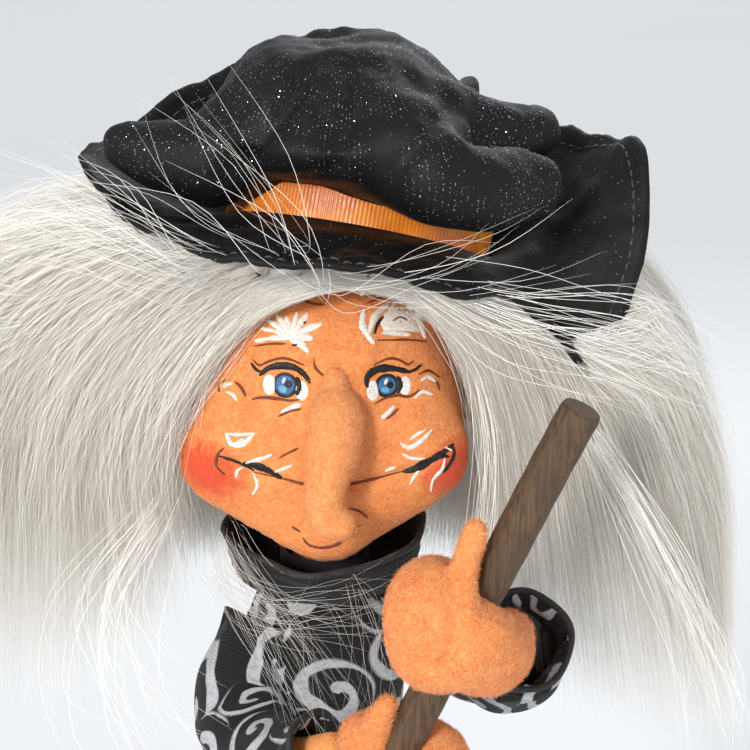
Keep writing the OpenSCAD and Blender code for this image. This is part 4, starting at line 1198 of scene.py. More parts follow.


def build_wig():
    """A fur backing pressed close to the head, under sheets of loose strands."""
    light = plain("hair_white", rgb(246, 243, 237), rough=0.5, sheen_weight=0.2)
    ivory = plain("hair_ivory", rgb(236, 230, 219), rough=0.5, sheen_weight=0.2)
    grey = plain("hair_grey", rgb(206, 203, 198), rough=0.5, sheen_weight=0.1)
    # painted glow: every hair tone emits a little warm light, though no lamp is there
    for tone in (light, ivory, grey):
        surface = tone.node_tree.nodes["Principled BSDF"]
        surface.inputs["Emission Color"].default_value = (1.0, 0.97, 0.92, 1)
        surface.inputs["Emission Strength"].default_value = HAIR_GLOW
    tones = [light, ivory, grey]
    under = felt("wig_backing", rgb(238, 233, 224), rgb(208, 203, 194), sheen=0.1)
    core = soften("wig", "wig_backing", voxel=2.2, smoothing=14)
    points = read_points(core)
    front = smooth_step(2, -10, points[:, 1])
    push(core, -6.5 - 4.5 * front + 2.2 * (1 - front) * ripple(points, 16, "wig lumps"))
    place(core, "head", under.material, ["wig"])

    heads = 15800
    fringe_heads = 6500
    steps = 7
    parts = [
        ("hair_left_1", LEFT_FRONT, LEFT_BACK, 5.5, 600, 0.3, 1.8, 0.065, [0.62, 0.3, 0.08]),
        ("hair_left_2", LEFT_FRONT, LEFT_BACK, 7.5, 1500, 0.15, 2.8, 0.06, [0.7, 0.26, 0.04]),
        ("hair_left_3", LEFT_FRONT, LEFT_BACK, 9.5, 3000, 0.05, 3.6, 0.055, [0.75, 0.22, 0.03]),
        ("hair_right_1", RIGHT_FRONT, RIGHT_BACK, 3.5, 170, 0.55, 0.6, 0.08, [0.55, 0.34, 0.11]),
        ("hair_right_2", RIGHT_FRONT, RIGHT_BACK, 5.5, 400, 0.35, 1.1, 0.07, [0.55, 0.34, 0.11]),
        ("hair_back_1", back_row(0), back_row(14), 4.5, 240, 0.5, 1.1, 0.08, [0.55, 0.33, 0.12]),
        ("hair_back_2", back_row(-1), back_row(10), 6.0, 500, 0.3, 1.8, 0.07, [0.6, 0.3, 0.1]),
    ]
    for name, *shape in parts:
        hair_piece(name, tones, heads, steps, *shape)
    for name, front in (("fringe_left", FRINGE_LEFT), ("fringe_right", FRINGE_RIGHT)):
        shape = (front, np.asarray(front) + [0, 5, 1.5], 1.3, 110, 0.3, 0.8, 0.055, [0.6, 0.32, 0.08])
        hair_piece(name, tones, fringe_heads, steps, *shape)
    stray_hairs(tones)


def hair_piece(name, tones, heads, steps, front, back, spread, clumps, gather, frizz, half, share):
    """One sheet of strands, as a piece; half is a strand's half width, and share how many have each tone."""
    rng = seeded(name)
    paths = sheet(rng, front, back, heads, steps, spread, clumps, gather, frizz)
    paths = keep_clear(paths)
    facing = outward(paths) + rng.normal(0, 0.28, (heads, 1, 3))
    widths = half * rng.uniform(0.6, 1.4, heads)
    add_strands(name, paths, widths, facing, "head", tones, rng, share)


def outward(paths):
    """Directions away from the middle of the head, for turning strands to face the viewer."""
    return unit(paths - (HEAD_C + [0, 12, 0]))


HAIR_ROOM = 12                      # how far hair may stand out past the sides of the CAD part


def keep_clear(paths, under_brim=True):
    """Lifts strands out of the head, keeps them sideways within HAIR_ROOM of the part's box, and keeps them
    under the brim.
    """
    middle, half_sizes = np.array([0, 0, 3]), (36, 31.5, 37)
    offset = to_head(paths) - middle
    reach = np.linalg.norm(offset / half_sizes, axis=-1, keepdims=True)
    paths = from_head(middle + np.where(reach < 1, offset / np.maximum(reach, 0.3), offset))
    paths[..., 0] = np.clip(paths[..., 0], cad_box[0][0] / MM - HAIR_ROOM, cad_box[1][0] / MM + HAIR_ROOM)
    if under_brim:
        limit = brim_height(paths[..., 0].ravel(), paths[..., 1].ravel()).reshape(paths.shape[:-1]) - 1.6
        paths[..., 2] = np.minimum(paths[..., 2], limit)
    return paths


def stray_hairs(tones):
    """Long single hairs that have escaped: over the brim, down the front and off the tips."""
    guides = [
        ([(-20, -30, 418), (-30, -48, 424), (-44, -52, 434), (-60, -50, 440)], 12, 40),
        ([(-8, -32, 420), (-4, -54, 424), (-12, -58, 440), (-30, -52, 456)], 14, 16),
        ([(24, -30, 414), (44, -40, 408), (66, -36, 402), (88, -30, 392)], 12, 46),
        ([(0, -30, 417), (10, -52, 420), (30, -56, 424), (48, -50, 430)], 13, 12),
        ([(-40, -18, 350), (-52, -26, 330), (-50, -34, 312), (-38, -38, 296)], 14, 40),
        ([(66, -24, 372), (84, -26, 340), (96, -22, 312), (102, -20, 290)], 10, 60),
        ([(-70, -20, 400), (-92, -18, 392), (-108, -14, 380), (-116, -10, 366)], 14, 60),
        ([(-60, -18, 408), (-84, -18, 414), (-102, -16, 412), (-116, -12, 404)], 12, 40),
        ([(36, -16, 392), (40, -22, 372), (40, -26, 352), (36, -30, 334)], 5, 22),
    ]
    draw_strays("hair_strays", guides, 0.055, tones, [0.8, 0.15, 0.05])
    throat = [
        ([(-24, -18, 342), (-17, -28, 332), (-6, -32, 318), (2, -36, 302)], 12, 46),
        ([(-28, -18, 334), (-14, -30, 330), (2, -33, 330), (14, -36, 334)], 9, 24),
        ([(8, -26, 334), (12, -34, 328), (14, -44, 318), (14, -50, 306)], 9, 9),
    ]
    faint = [plain("hair_faint", rgb(206, 204, 199), rough=0.5)]
    draw_strays("throat_strays", throat, 0.036, faint, [1.0])


def draw_strays(name, guides, half_width, tones, share):
    """Single hairs that wander round each guide [curve, spread, count]."""
    rng = seeded(name)
    paths = []
    for guide, spread, count in guides:
        grow = np.linspace(0.3, 1, 4)[None, :, None]
        wander = rng.normal(0, 1, (count, 1, 3)) * grow * spread * 0.6
        wander = wander + rng.normal(0, 0.25, (count, 4, 3)) * grow * spread
        paths.append(spline(np.asarray(guide, float) + wander, 16))
    paths = keep_clear(np.concatenate(paths), under_brim=False)
    facing = np.array([0.0, -1.0, 0.35]) + rng.normal(0, 0.3, (len(paths), 1, 3))
    widths = half_width * rng.uniform(0.65, 1.35, len(paths))
    add_strands(name, paths, widths, facing, "head", tones, rng, share)


# ---------- the hat ----------


def brim_edge(turn):
    """The brim's edge read from the CAD brim: reach from the hat's middle and height, at angles turn."""
    points = node_points("hat_brim") - [HAT_C[0], HAT_C[1], BRIM_Z]
    angle = np.arctan2(points[:, 1], points[:, 0])
    reach = np.hypot(points[:, 0], points[:, 1])
    bins = 64
    slot = np.round(angle / (2 * math.pi) * bins).astype(int) % bins
    filled = np.unique(slot)
    rim = np.array([np.flatnonzero(slot == k)[np.argmax(reach[slot == k])] for k in filled])
    full_turn = 2 * math.pi
    return (np.interp(turn, angle[rim] % full_turn, reach[rim], period=full_turn),
            np.interp(turn, angle[rim] % full_turn, points[rim, 2], period=full_turn))


def brim_height(x, y):
    """Height of the brim over points of the plan; past its edge the limit rises at 45 degrees."""
    dx, dy = x - HAT_C[0], y - HAT_C[1]
    reach = np.hypot(dx, dy)
    far, rise = brim_edge(np.arctan2(dy, dx) % (2 * math.pi))
    t = np.clip((reach - BAND_R) / (far - BAND_R), 0, 1)
    slope = HAT_AXES[2]
    opening = np.minimum(reach, BAND_R) / np.maximum(reach, 1e-6)
    seat = -(slope[0] * dx + slope[1] * dy) * opening / slope[2] - HAT_DROP
    return BRIM_Z + seat * (1 - t) + rise * t ** 1.4 + np.maximum(reach - far, 0)


def build_brim(cloth, thread):
    """Stiff brim between the tilted opening and the CAD brim's edge, with a rolled and stitched hem."""
    columns, rows = 360, 44
    hem = 4.2                           # the line of stitches, from the brim's edge
    angle = around(columns)
    far, height = brim_edge(angle)
    for _ in range(10):
        far = (far * 2 + np.roll(far, 1) + np.roll(far, -1)) / 4
        height = (height * 2 + np.roll(height, 1) + np.roll(height, -1)) / 4
    opening = BAND_R - 0.8
    inner = from_hat(grid_points(opening * np.cos(angle), opening * np.sin(angle), 0.0))
    rim = grid_points(HAT_C[0] + far * np.cos(angle), HAT_C[1] + far * np.sin(angle), BRIM_Z)
    t = np.linspace(0, 1, rows)[:, None]
    middle = lerp(inner, rim, t[..., None])
    middle[..., 2] += 0.6 + height * t ** 1.4
    width = np.linalg.norm(rim - inner, axis=1)
    folds = ripple(middle.reshape(-1, 3), 21, "brim folds", 4).reshape(rows, columns)
    middle[..., 2] += folds * 1.5 * smooth_step(0.05, 0.5, t)
    across = np.gradient(middle, axis=0)
    onward = np.roll(middle, -1, axis=1) - np.roll(middle, 1, axis=1)
    normal = unit(np.cross(across, onward))
    from_edge = (1 - t) * width
    thick = 0.65 + 0.3 * bell(from_edge - 0.8, 1.2) - 0.22 * bell(from_edge - hem, 0.5)
    edge_fall = np.sqrt(np.clip(from_edge / 0.7, 0, 1))
    thick = thick * np.maximum(edge_fall, 0.08)
    top = middle + normal * thick[..., None]
    under = middle - normal * thick[..., None]
    loop = np.concatenate([top, under[::-1]])
    here, following = np.arange(columns), (np.arange(columns) + 1) % columns
    last = (len(loop) - 1) * columns
    close = np.stack([last + here, last + following, following, here], axis=-1)
    faces = np.concatenate([grid_faces(len(loop), columns, wrap=True), close])
    add_piece("brim_cloth", loop.reshape(-1, 3), faces, "head", cloth, ["hat_brim"])
    row = int(np.argmin(np.abs(from_edge[:, 0] - hem)))
    for name, side in (("brim_stitches_top", top), ("brim_stitches_under", under)):
        add_stitches(name, side[row], (1 if side is top else -1) * normal[row], thread, "head")


def add_stitches(name, path, normal, material, body, pitch=3.0, length=2.0, radius=0.22):
    """A ring of separate thread loops lying along a path that closes on itself."""
    path = np.concatenate([path, path[:1]])
    normal = np.concatenate([normal, normal[:1]])
    step = np.linalg.norm(np.diff(path, axis=0), axis=1)
    travel = np.concatenate([[0], np.cumsum(step)])
    parts = []
    for start in np.arange(0, travel[-1] - length, pitch):
        at = start + np.linspace(0, length, 7)
        line = np.column_stack([np.interp(at, travel, path[:, k]) for k in range(3)])
        out = np.column_stack([np.interp(at, travel, normal[:, k]) for k in range(3)])
        arch = np.sin(np.linspace(0, math.pi, 7))[:, None] * 0.28 - 0.1
        width = radius * np.sin(np.linspace(0.25, math.pi - 0.25, 7)) ** 0.4
        parts.append(tube(line + out * arch, width, 6))
    points, faces = join_grids(parts)
    return add_piece(name, points, faces, body, material)


def build_crown(cloth):
    """Slouched crown: the CAD crown softened, rippled above the ribbon, and creased where it folds."""
    crown = soften("hat_crown", "crown_cloth", voxel=1.3, smoothing=16)
    points = read_points(crown)
    high = smooth_step(BAND_H - 4, BAND_H + 8, to_hat(points)[:, 2])
    push(crown, high * 1.3 * ripple(points * [1, 1, 0.7], 26, "crown folds", 4))
    for path, depth, width in [
        ([(-22, -20, 436), (-12, -26, 444), (-4, -22, 456), (-2, -10, 462)], 2.6, 3.4),
        ([(-8, -30, 430), (2, -33, 440), (8, -30, 452), (8, -18, 460)], 1.8, 3.0),
        ([(30, -30, 440), (38, -20, 444), (44, -6, 446)], 1.6, 3.0),
        ([(14, -36, 434), (24, -32, 446), (30, -16, 452)], 1.3, 2.6),
        ([(-24, 10, 436), (-12, 14, 448), (4, 14, 456)], 2.2, 3.2),
        ([(10, 34, 436), (20, 24, 446), (20, 8, 455)], 2.0, 3.0),
        ([(38, 14, 438), (30, 16, 446), (18, 12, 453)], 1.6, 2.8),
    ]:
        crease(crown, path, depth, width)
    replace_mesh(crown, "crown_cloth")
    place(crown, "head", cloth, ["hat_crown"])
    return crown


def build_band(ribbon):
    """Grosgrain ribbon: a band with a rib every millimetre and a rolled selvedge."""
    columns, rows = 900, 15
    angle = around(columns)
    t = np.linspace(0, 1, rows)[:, None]
    height = BAND_GAP + BAND_H * t
    rib = 0.07 * np.cos(angle * 204)
    selvedge = 0.16 * (bell(t - 0.04, 0.03) + bell(t - 0.96, 0.03))
    sag = 0.35 * np.sin(angle * 7 + 1.3) * np.sin(math.pi * t)
    outer = BAND_R + rib + selvedge + sag

    def wall(reach):
        return grid_points(reach * np.cos(angle), reach * np.sin(angle), height)

    points = from_hat(wall(outer))
    inside = from_hat(wall(outer * 0 + BAND_R - 0.7))
    loop = np.concatenate([points, inside[::-1]])
    faces = grid_faces(len(loop), columns, wrap=True)
    add_piece("ribbon_band", loop.reshape(-1, 3), faces, "head", ribbon, ["hat_band"])


FLAKE_SIZES = (0.05, 0.12)


def add_glitter(name, obj, count, materials):
    """Tiny metal flakes fixed to the cloth in close columns round the crown."""
    rng = seeded(name)
    points, normals = sample_surface(obj, count * 5, rng)
    turn = np.arctan2(points[:, 1] - HAT_C[1], points[:, 0] - HAT_C[0]) * 38 / 1.1
    patchy = ripple(points, 22, "glitter patches") > -0.35
    chosen = (np.abs(turn - np.round(turn)) < 0.16) & patchy
    points, normals = points[chosen][:count], normals[chosen][:count]
    side = unit(np.cross(normals, rng.normal(size=normals.shape)))
    lean = unit(normals + rng.normal(0, 0.35, normals.shape))
    side = unit(side - lean * (side * lean).sum(axis=1, keepdims=True))
    other = np.cross(lean, side)
    size = rng.uniform(*FLAKE_SIZES, (len(points), 1))
    centre = points + normals * 0.14
    corners = np.stack([centre + way * size for way in (side, other, -side, -other)], axis=1)
    faces = np.arange(len(points) * 4).reshape(-1, 4)
    add_piece(name, corners.reshape(-1, 3), faces, "head", materials)


def build_hat():
    """The hat's four cloth parts, and glitter on its crown and brim."""
    cloth = hat_cloth()
    thread = plain("black_thread", rgb(58, 58, 64), rough=0.5, sheen_weight=0.4)
    build_brim(cloth, thread)
    crown = build_crown(cloth)
    build_band(satin())
    flake = plain("glitter_flake", rgb(214, 216, 226), rough=0.25, metallic=1.0)
    add_glitter("crown_glitter", crown, 15000, flake)
    add_glitter("brim_glitter", bpy.data.objects["brim_cloth"], 9000, flake)


# ---------- the dress ----------

SHOULDER = {"right": np.array([-19, -3, SHOULDER_Z + 1]), "left": np.array([19, -3, SHOULDER_Z + 1])}
ELBOW = {"right": np.array([-28, -20, 270]), "left": np.array([58, 2, 290])}
WRIST = {"right": np.array([8, -46, 302]), "left": np.array([45, -45, 334])}
CLOTH_T = 1.1


def arm_at(side, t):
    t = np.asarray(t, float)[:, None]
    return (1 - t) ** 2 * SHOULDER[side] + 2 * t * (1 - t) * ELBOW[side] + t ** 2 * WRIST[side]


def build_sleeve(side, cloth, piping, radii, stop, shift):
    """A gathered sleeve: cut longer than the arm, so that it bunches, with a bound cuff."""
    name = side + "_sleeve"
    rows, columns = 110, 84
    start = SHOULDER[side] + [3 if side == "right" else -3, 0, -2]
    line = np.concatenate([[start], arm_at(side, np.linspace(0.2, stop, 6)) + [shift, 0, 0]])
    path = spline(line, rows)
    t = np.linspace(0, 1, rows)
    radius = np.interp(t, np.linspace(0, 1, len(radii)), radii)
    angle = around(columns)
    bunch = np.sin(math.pi * t)[:, None] ** 0.6
    slant = 0.35 * np.sin(t[:, None] * 17 + 2.2 * np.sin(angle + 0.6) + (1.0 if side == "left" else 2.4))
    pleats = 0.3 * np.cos(angle * 5 + t[:, None] * 3) * smooth_step(0.45, 1, t)[:, None]
    points, faces = tube(path, radius[:, None] - 0.5 + bunch * slant * 1.6 + pleats, columns)
    obj = make_object(name + "_cloth", make_mesh(name, points, faces))
    length = np.linalg.norm(np.diff(path, axis=0), axis=1).sum()
    write_uv(obj.data, rows, columns, True, length, 2 * math.pi * radius.mean())
    bunch_cloth(obj, rows, columns, grow=0.12)
    add_wall(obj, CLOTH_T)
    smooth = obj.modifiers.new("smooth", "SUBSURF")
    smooth.levels = 1
    smooth.render_levels = 1
    cuff = read_points(obj)[(rows - 1) * columns:]
    replace_mesh(obj, name + "_cloth")
    place(obj, "upper_body", cloth, [name])
    bind_edge(name + "_piping", cuff, 0.85, "upper_body", piping)


MOST_DRAPE = 2.6                    # keeps the simulated sleeves clear of what is near them
DRAPE_FRAMES = 18


def bunch_cloth(obj, rows, columns, grow):
    """Lets a tube of cloth grow between its pinned ends, so that it wrinkles as gathered fabric does."""
    ends = obj.vertex_groups.new(name="ends")
    edge = 2 * columns
    ends.add([*range(edge), *range((rows - 2) * columns, rows * columns)], 1.0, "REPLACE")
    before = read_points(obj)
    cloth = obj.modifiers.new("cloth", "CLOTH")
    settings = cloth.settings
    settings.quality = 6
    settings.mass = 0.2
    settings.tension_stiffness = 12
    settings.compression_stiffness = 12
    settings.bending_stiffness = 0.25
    settings.vertex_group_mass = "ends"
    settings.shrink_min = -grow
    settings.use_pressure = True
    settings.uniform_pressure_force = 0.6
    settings.effector_weights.gravity = 0.15
    cloth.collision_settings.use_self_collision = False
    for step in range(1, DRAPE_FRAMES + 1):
        bpy.context.scene.frame_set(step)
    mesh = evaluated_copy(obj, obj.name)
    bpy.context.scene.frame_set(1)
    obj.modifiers.clear()
    obj.data = mesh
    mesh.shade_smooth()
    moved = read_points(obj) - before
    length = np.linalg.norm(moved, axis=1, keepdims=True)
    write_points(obj, before + moved * np.minimum(1, MOST_DRAPE / np.maximum(length, 1e-6)))


SHADE_BAND_RISE = 85                       # rise from the waist to where the bodice turns plain black inside the collar, as painted shade
TORSO = [
    (1.5, 16.5, 13.5, 0), (12, 16, 13.5, 0), (26, 17, 15, -1), (40, 18.5, 15.5, -1), (54, 19, 15, -1),
    (66, 19.5, 13.5, -1), (76, 19, 12, -1), (82, 16.5, 10.5, -1), (86, 12.5, 10.5, -1), (90, 10.6, 10.3, 0),
    (95.5, 10.2, 10.0, 0),
]


def build_bodice(cloth, thread, shade_band_cloth):
    """Fitted bodice with gathers at the waist and a seam down the back; its top inside the collar is plain
    black cloth instead of print, as painted shade.
    """
    rows, columns = 90, 160
    station = np.array([(WAIST_Z + rise, wide, deep, y) for rise, wide, deep, y in TORSO])
    heights = np.linspace(station[0, 0], station[-1, 0], rows)
    wide, deep, y = (np.interp(heights, station[:, 0], station[:, k])[:, None] for k in (1, 2, 3))
    angle = around(columns)
    t = np.linspace(0, 1, rows)[:, None]
    gather = 0.5 * np.cos(angle * 26 + 2 * np.sin(3 * angle)) * bell(t, 0.16)
    drag = 0.5 * np.sin(t * 21 + 2.5 * np.sin(angle * 2 + 1))
    seam = -0.5 * bell(np.abs(angle - math.pi / 2) * 17, 1.0)
    out = 1.1 + gather + drag * np.sin(math.pi * t) + seam
    points = grid_points((wide + out) * np.cos(angle), y + (deep + out) * np.sin(angle), heights[:, None])
    lengths = (heights[-1] - heights[0], 2 * math.pi * 18)
    obj = sew("bodice", points, [cloth, shade_band_cloth], 0.8, lengths=lengths)
    # painted shade: faces above the band take the plain black cloth, for the shadow inside the collar
    in_collar = [face.center.z > (WAIST_Z + SHADE_BAND_RISE) * MM for face in obj.data.polygons]
    obj.data.polygons.foreach_set("material_index", np.array(in_collar, np.int32))
    belt = points[3] * [1, 1, 0] + [0, 0, WAIST_Z + 4.5]
    bind_edge("waist_cord", belt, 1.7, "upper_body", thread, sides=10, flatten=1.5)


def build_skirt(cloth, thread):
    """Gathered skirt: small pleats at the waist open into deep folds at the hem."""
    rows, columns = 150, 480
    t = np.linspace(0, 1, rows)[:, None]
    angle = around(columns)
    waist_r, folds, depth = 18, 11, 4.6
    bell_r = waist_r + (HEM_R - waist_r) * np.sin(math.pi / 2 * t) ** 0.85
    height = lerp(WAIST_Z + 1.4, HEM_Z, t)
    drift = 0.5 * np.sin(angle * 3 + 1) + 0.35 * np.sin(angle * 5 + t * 2)
    fold = np.cos(folds * (angle + 0.12 * drift)) * smooth_step(0.12, 1, t) * depth
    fine = np.cos(44 * angle + 3 * np.sin(angle * 4)) * 0.7 * bell(t, 0.22)
    crush = 0.5 * np.sin(t * 19 + 3 * np.sin(angle * 4)) * smooth_step(0.1, 0.5, t)
    radius = bell_r - 0.5 + (fold - depth * smooth_step(0.12, 1, t)) * 0.75 + fine + crush
    hem = 0.8 + 0.9 * np.cos(folds * angle) * smooth_step(0.9, 1, t)
    points = grid_points(radius * np.cos(angle), radius * np.sin(angle), height + hem * t ** 8)
    lengths = (math.hypot(WAIST_Z - HEM_Z, HEM_R - waist_r), 2 * math.pi * 46)
    sew("skirt", points, cloth, 0.9, offset=1, lengths=lengths)
    row = points[int(rows * 0.965)]
    out = unit(row * [1, 1, 0])
    add_stitches("hem_stitches", row + out * 0.9, out, thread, "upper_body", pitch=3.4, length=2.1)


def build_collar(cloth, piping):
    """Tall collar of black cloth, laid in flat tucks that run round it, with a bound top edge."""
    rows, columns = 60, 240
    low, high = node_box("collar")
    wide = (high[0] - low[0]) / 2
    angle = around(columns)
    t = np.linspace(0, 1, rows)[:, None]
    reach = np.interp(t, [0, 0.12, 0.26, 0.5, 1], [0.42, 0.73, 0.93, 0.965, 1.0]) * (wide - 0.7)
    tucks = 0.55 * np.abs(((t * 5 + 0.12 * np.sin(angle * 3)) % 1) - 0.5)
    wave_out = 0.6 * np.sin(angle * 4 + 0.8) * t ** 2 + 0.35 * np.sin(angle * 9 + t * 5) * t
    dip = 1.5 * bell((angle - 1.5 * math.pi) / 0.95, 1)
    height = lerp(low[2] + 0.3, high[2] - 0.9 - dip, t) + 0.7 * np.sin(angle * 5 + 1) * t ** 3
    out = reach + tucks + wave_out
    points = grid_points(out * np.cos(angle), -0.5 + out * 1.035 * np.sin(angle), height)
    sew("collar", points, cloth, CLOTH_T)
    bind_edge("collar_piping", points[-1], 0.75, "upper_body", piping)


def build_dress():
    """Everything sewn: bodice, skirt, collar and sleeves, and the stuffing under them."""
    cloth = print_cloth()
    black = plain_cloth("black_cotton", rgb(19, 18, 21), rgb(9, 8, 10))
    piping = plain_cloth("black_binding", rgb(38, 37, 41), rgb(16, 15, 18), thread=0.8, rough=0.6)
    thread = plain("grey_thread", rgb(120, 120, 128), rough=0.6, sheen_weight=0.4)
    build_bodice(cloth, piping, black)
    build_skirt(cloth, thread)
    build_collar(black, piping)
    build_sleeve("right", cloth, piping, [11, 13.5, 13.3, 12.5, 12, 11, 10], 0.9, -2)
    build_sleeve("left", cloth, piping, [9, 10.5, 12, 13, 13.5, 13.5, 12.8], 0.84, 1)
    wadding = felt("wadding", rgb(244, 238, 226), rgb(214, 204, 188))
    place(soften("torso_padding", "torso_stuffing", voxel=1.4, smoothing=6), "upper_body", wadding.material,
          ["torso_padding"])


# ---------- hands, arms and broom ----------

LEFT_PALM = [
    [[12, 6, -2], 6.5], [[7.6, -1.5, -4], 10.3], [[-0.8, -8, -1.2], 11.3], [[-6.5, -7.5, -4.5], 11],
    [[-11.3, -6.5, 3.2], 10.2], [[-10, 2.5, 4], 7.5], [[-4, 7.5, 4], 6.3],
]
LEFT_THUMB = [
    [[-5, -10, 4], 7], [[-7, -7.5, 10], 4.6], [[-7.8, -6, 14], 3.7], [[-8.6, -4.5, 19], 3.3],
    [[-9.2, -3.5, 23.5], 3.2],
]
RIGHT_PALM = [
    [[-6, 4, LOWER_GRIP + 1], 8], [[2, 7, LOWER_GRIP + 2], 8.5], [[10, 3, LOWER_GRIP + 4], 8.5],
    [[8.5, -4, LOWER_GRIP], 8], [[2, -8.5, LOWER_GRIP - 3], 7], [[-5, -7.5, LOWER_GRIP - 5], 6],
]
RIGHT_THUMB = [
    [[-6, 1, LOWER_GRIP + 4], 5], [[-7.8, -1, LOWER_GRIP + 11], 3.6], [[-7.8, -1.5, LOWER_GRIP + 15], 2.8],
]


def build_hand(side, chains, creases, material, fibres):
    """A felt mitten hand: palm and thumb in one skin, pressed with creases and covered with fibres."""
    chains = [[(from_stick(c), r - 0.4) for c, r in chain] for chain in chains]
    hand = blob(side + "_hand_felt", chains, voxel=0.8, smoothing=10)
    for path, depth, width in creases:
        crease(hand, from_stick(path), depth, width)
    push(hand, 0.3 * ripple(read_points(hand), 9, side + " hand lumps"))
    place(hand, "upper_body", material, [side + "_hand"])
    fuzz(side + "_hand_fuzz", hand, "upper_body", fibres, 33000, 1.9, width=0.07, lie=0.66)


def build_hands():
    """Both hands round the stick, and the felt arms behind them."""
    skin = felt("hand_felt", *SKIN).material
    fibres = [plain("hand_fibre_light", rgb(255, 196, 132), rough=0.9, sheen_weight=0.3),
              plain("hand_fibre_dark", rgb(242, 148, 78), rough=0.9, sheen_weight=0.3)]
    build_hand("left", [LEFT_PALM, LEFT_THUMB], [
        ([(-6.5, -17.5, 9), (-6, -19, 4), (-5, -19.5, -1), (-7, -18.5, -5)], 2.0, 1.8),
        ([(-10, -17, 6), (-11, -18, 1)], 1.1, 3.2),
        ([(-7.6, -11.8, 9), (-9, -9.6, 15), (-10.4, -7.4, 21)], -0.5, 0.55),
        ([(-1, -13, 9), (5, -11, 6), (10, -8, 2)], -0.4, 0.6),
    ], skin, fibres)
    build_hand("right", [RIGHT_PALM, RIGHT_THUMB], [
        ([(-6, -8, LOWER_GRIP + 6), (-2, -12, LOWER_GRIP), (4, -13, LOWER_GRIP - 6)], 1.0, 1.4),
        ([(-11, -4, LOWER_GRIP + 6), (-11, -6, LOWER_GRIP + 12)], -0.4, 0.6),
    ], skin, fibres)
    for node in ("right_arm", "left_arm"):
        place(soften(node, node + "_felt", voxel=0.9, smoothing=4), "upper_body", skin, [node])


def build_broom():
    """Stained stick with a sawn end, straw bristles and a wound cord binding."""
    axis_length = STICK_ABOVE + BROOM_BELOW - BRUSH_LEN * 0.45
    z = np.linspace(STICK_ABOVE - axis_length, STICK_ABOVE, 240)
    sides = 48
    angle = around(sides)
    wander = 0.12 * np.sin(z[:, None] * 0.11 + angle) + 0.05 * np.sin(z[:, None] * 0.7 + 5 * angle)
    end = STICK_R * np.ones(len(z))
    end[-1] -= 0.35
    rings = [(STICK_ABOVE, STICK_R - 0.7), (STICK_ABOVE - 0.05, 2.5), (STICK_ABOVE - 0.08, 0.05)]
    heights = np.concatenate([z, [r[0] for r in rings]])
    radii = np.concatenate([end[:, None] + wander, [[r[1]] * sides for r in rings]])
    flat = grid_points(radii * np.cos(angle), radii * np.sin(angle), heights[:, None])
    points = from_stick(flat.reshape(-1, 3))
    faces = grid_faces(len(heights), sides, wrap=True)
    add_piece("painted_stick", points, faces, "upper_body", stick_paint(), ["broomstick"])
    build_bristles()


def build_bristles():
    """Straw gathered under a wound cord: each straw follows the brush's outline at its own depth."""
    rng = seeded("bristles")
    count, steps = 4200, 10
    outline_z = np.array([0, 6, 25, 45, 62, 74, 82, 92])
    outline_r = np.array([22.5, 23, 21, 17.6, 13.6, 10.2, 8.3, 7.3])
    share = np.sqrt(rng.random(count))[:, None]
    turn = rng.uniform(0, 2 * math.pi, (count, 1)) + rng.normal(0, 0.08, (count, steps)).cumsum(axis=1) * 0.4
    top = rng.uniform(84, BRUSH_LEN, (count, 1))
    bottom = rng.uniform(0, 14, (count, 1)) ** 1.2 * 0.6
    z = lerp(top, bottom, np.linspace(0, 1, steps)[None, :])
    reach = np.interp(z, outline_z, outline_r)
    keep_out = STICK_R + 0.4
    reach = np.where(z > BRUSH_LEN * 0.42, np.maximum(reach * share, keep_out), reach * share)
    flat = np.stack([reach * np.cos(turn), reach * np.sin(turn), z - BROOM_BELOW], axis=-1)
    paths = from_stick(flat)
    half = rng.uniform(0.26, 0.5, count)
    facing = unit(paths - from_stick([0, 0, -BROOM_BELOW + 40])) + rng.normal(0, 0.4, (count, 1, 3))
    tones = [
        plain("straw_light", rgb(214, 176, 108), rough=0.6),
        plain("straw_mid", rgb(186, 142, 76), rough=0.65),
        plain("straw_dark", rgb(142, 100, 50), rough=0.7),
    ]
    piece = add_strands("straw_bristles", paths, half, facing, "upper_body", tones, rng, [0.45, 0.4, 0.15])
    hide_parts("broom_bristles")
    turns, samples = 6, 520
    t = np.linspace(0, 1, samples)
    coil_z = lerp(69.5, 82, t)
    coil_r = np.interp(coil_z, outline_z, outline_r) + 0.9
    spin = t * turns * 2 * math.pi
    cord = np.stack([coil_r * np.cos(spin), coil_r * np.sin(spin), coil_z - BROOM_BELOW], axis=-1)
    lay = 0.18 * np.cos(around(10)[None, :] * 3 + t[:, None] * 420)
    points, faces = tube(from_stick(cord), 1.05 + lay, 10)
    twine = plain_cloth("twine", rgb(150, 84, 40), rgb(104, 54, 24), thread=0.7)
    add_piece("twine_binding", points, faces, "upper_body", twine, ["bristle_binding"])


# ---------- legs, shoes and base ----------

SOLE_T = 3.2


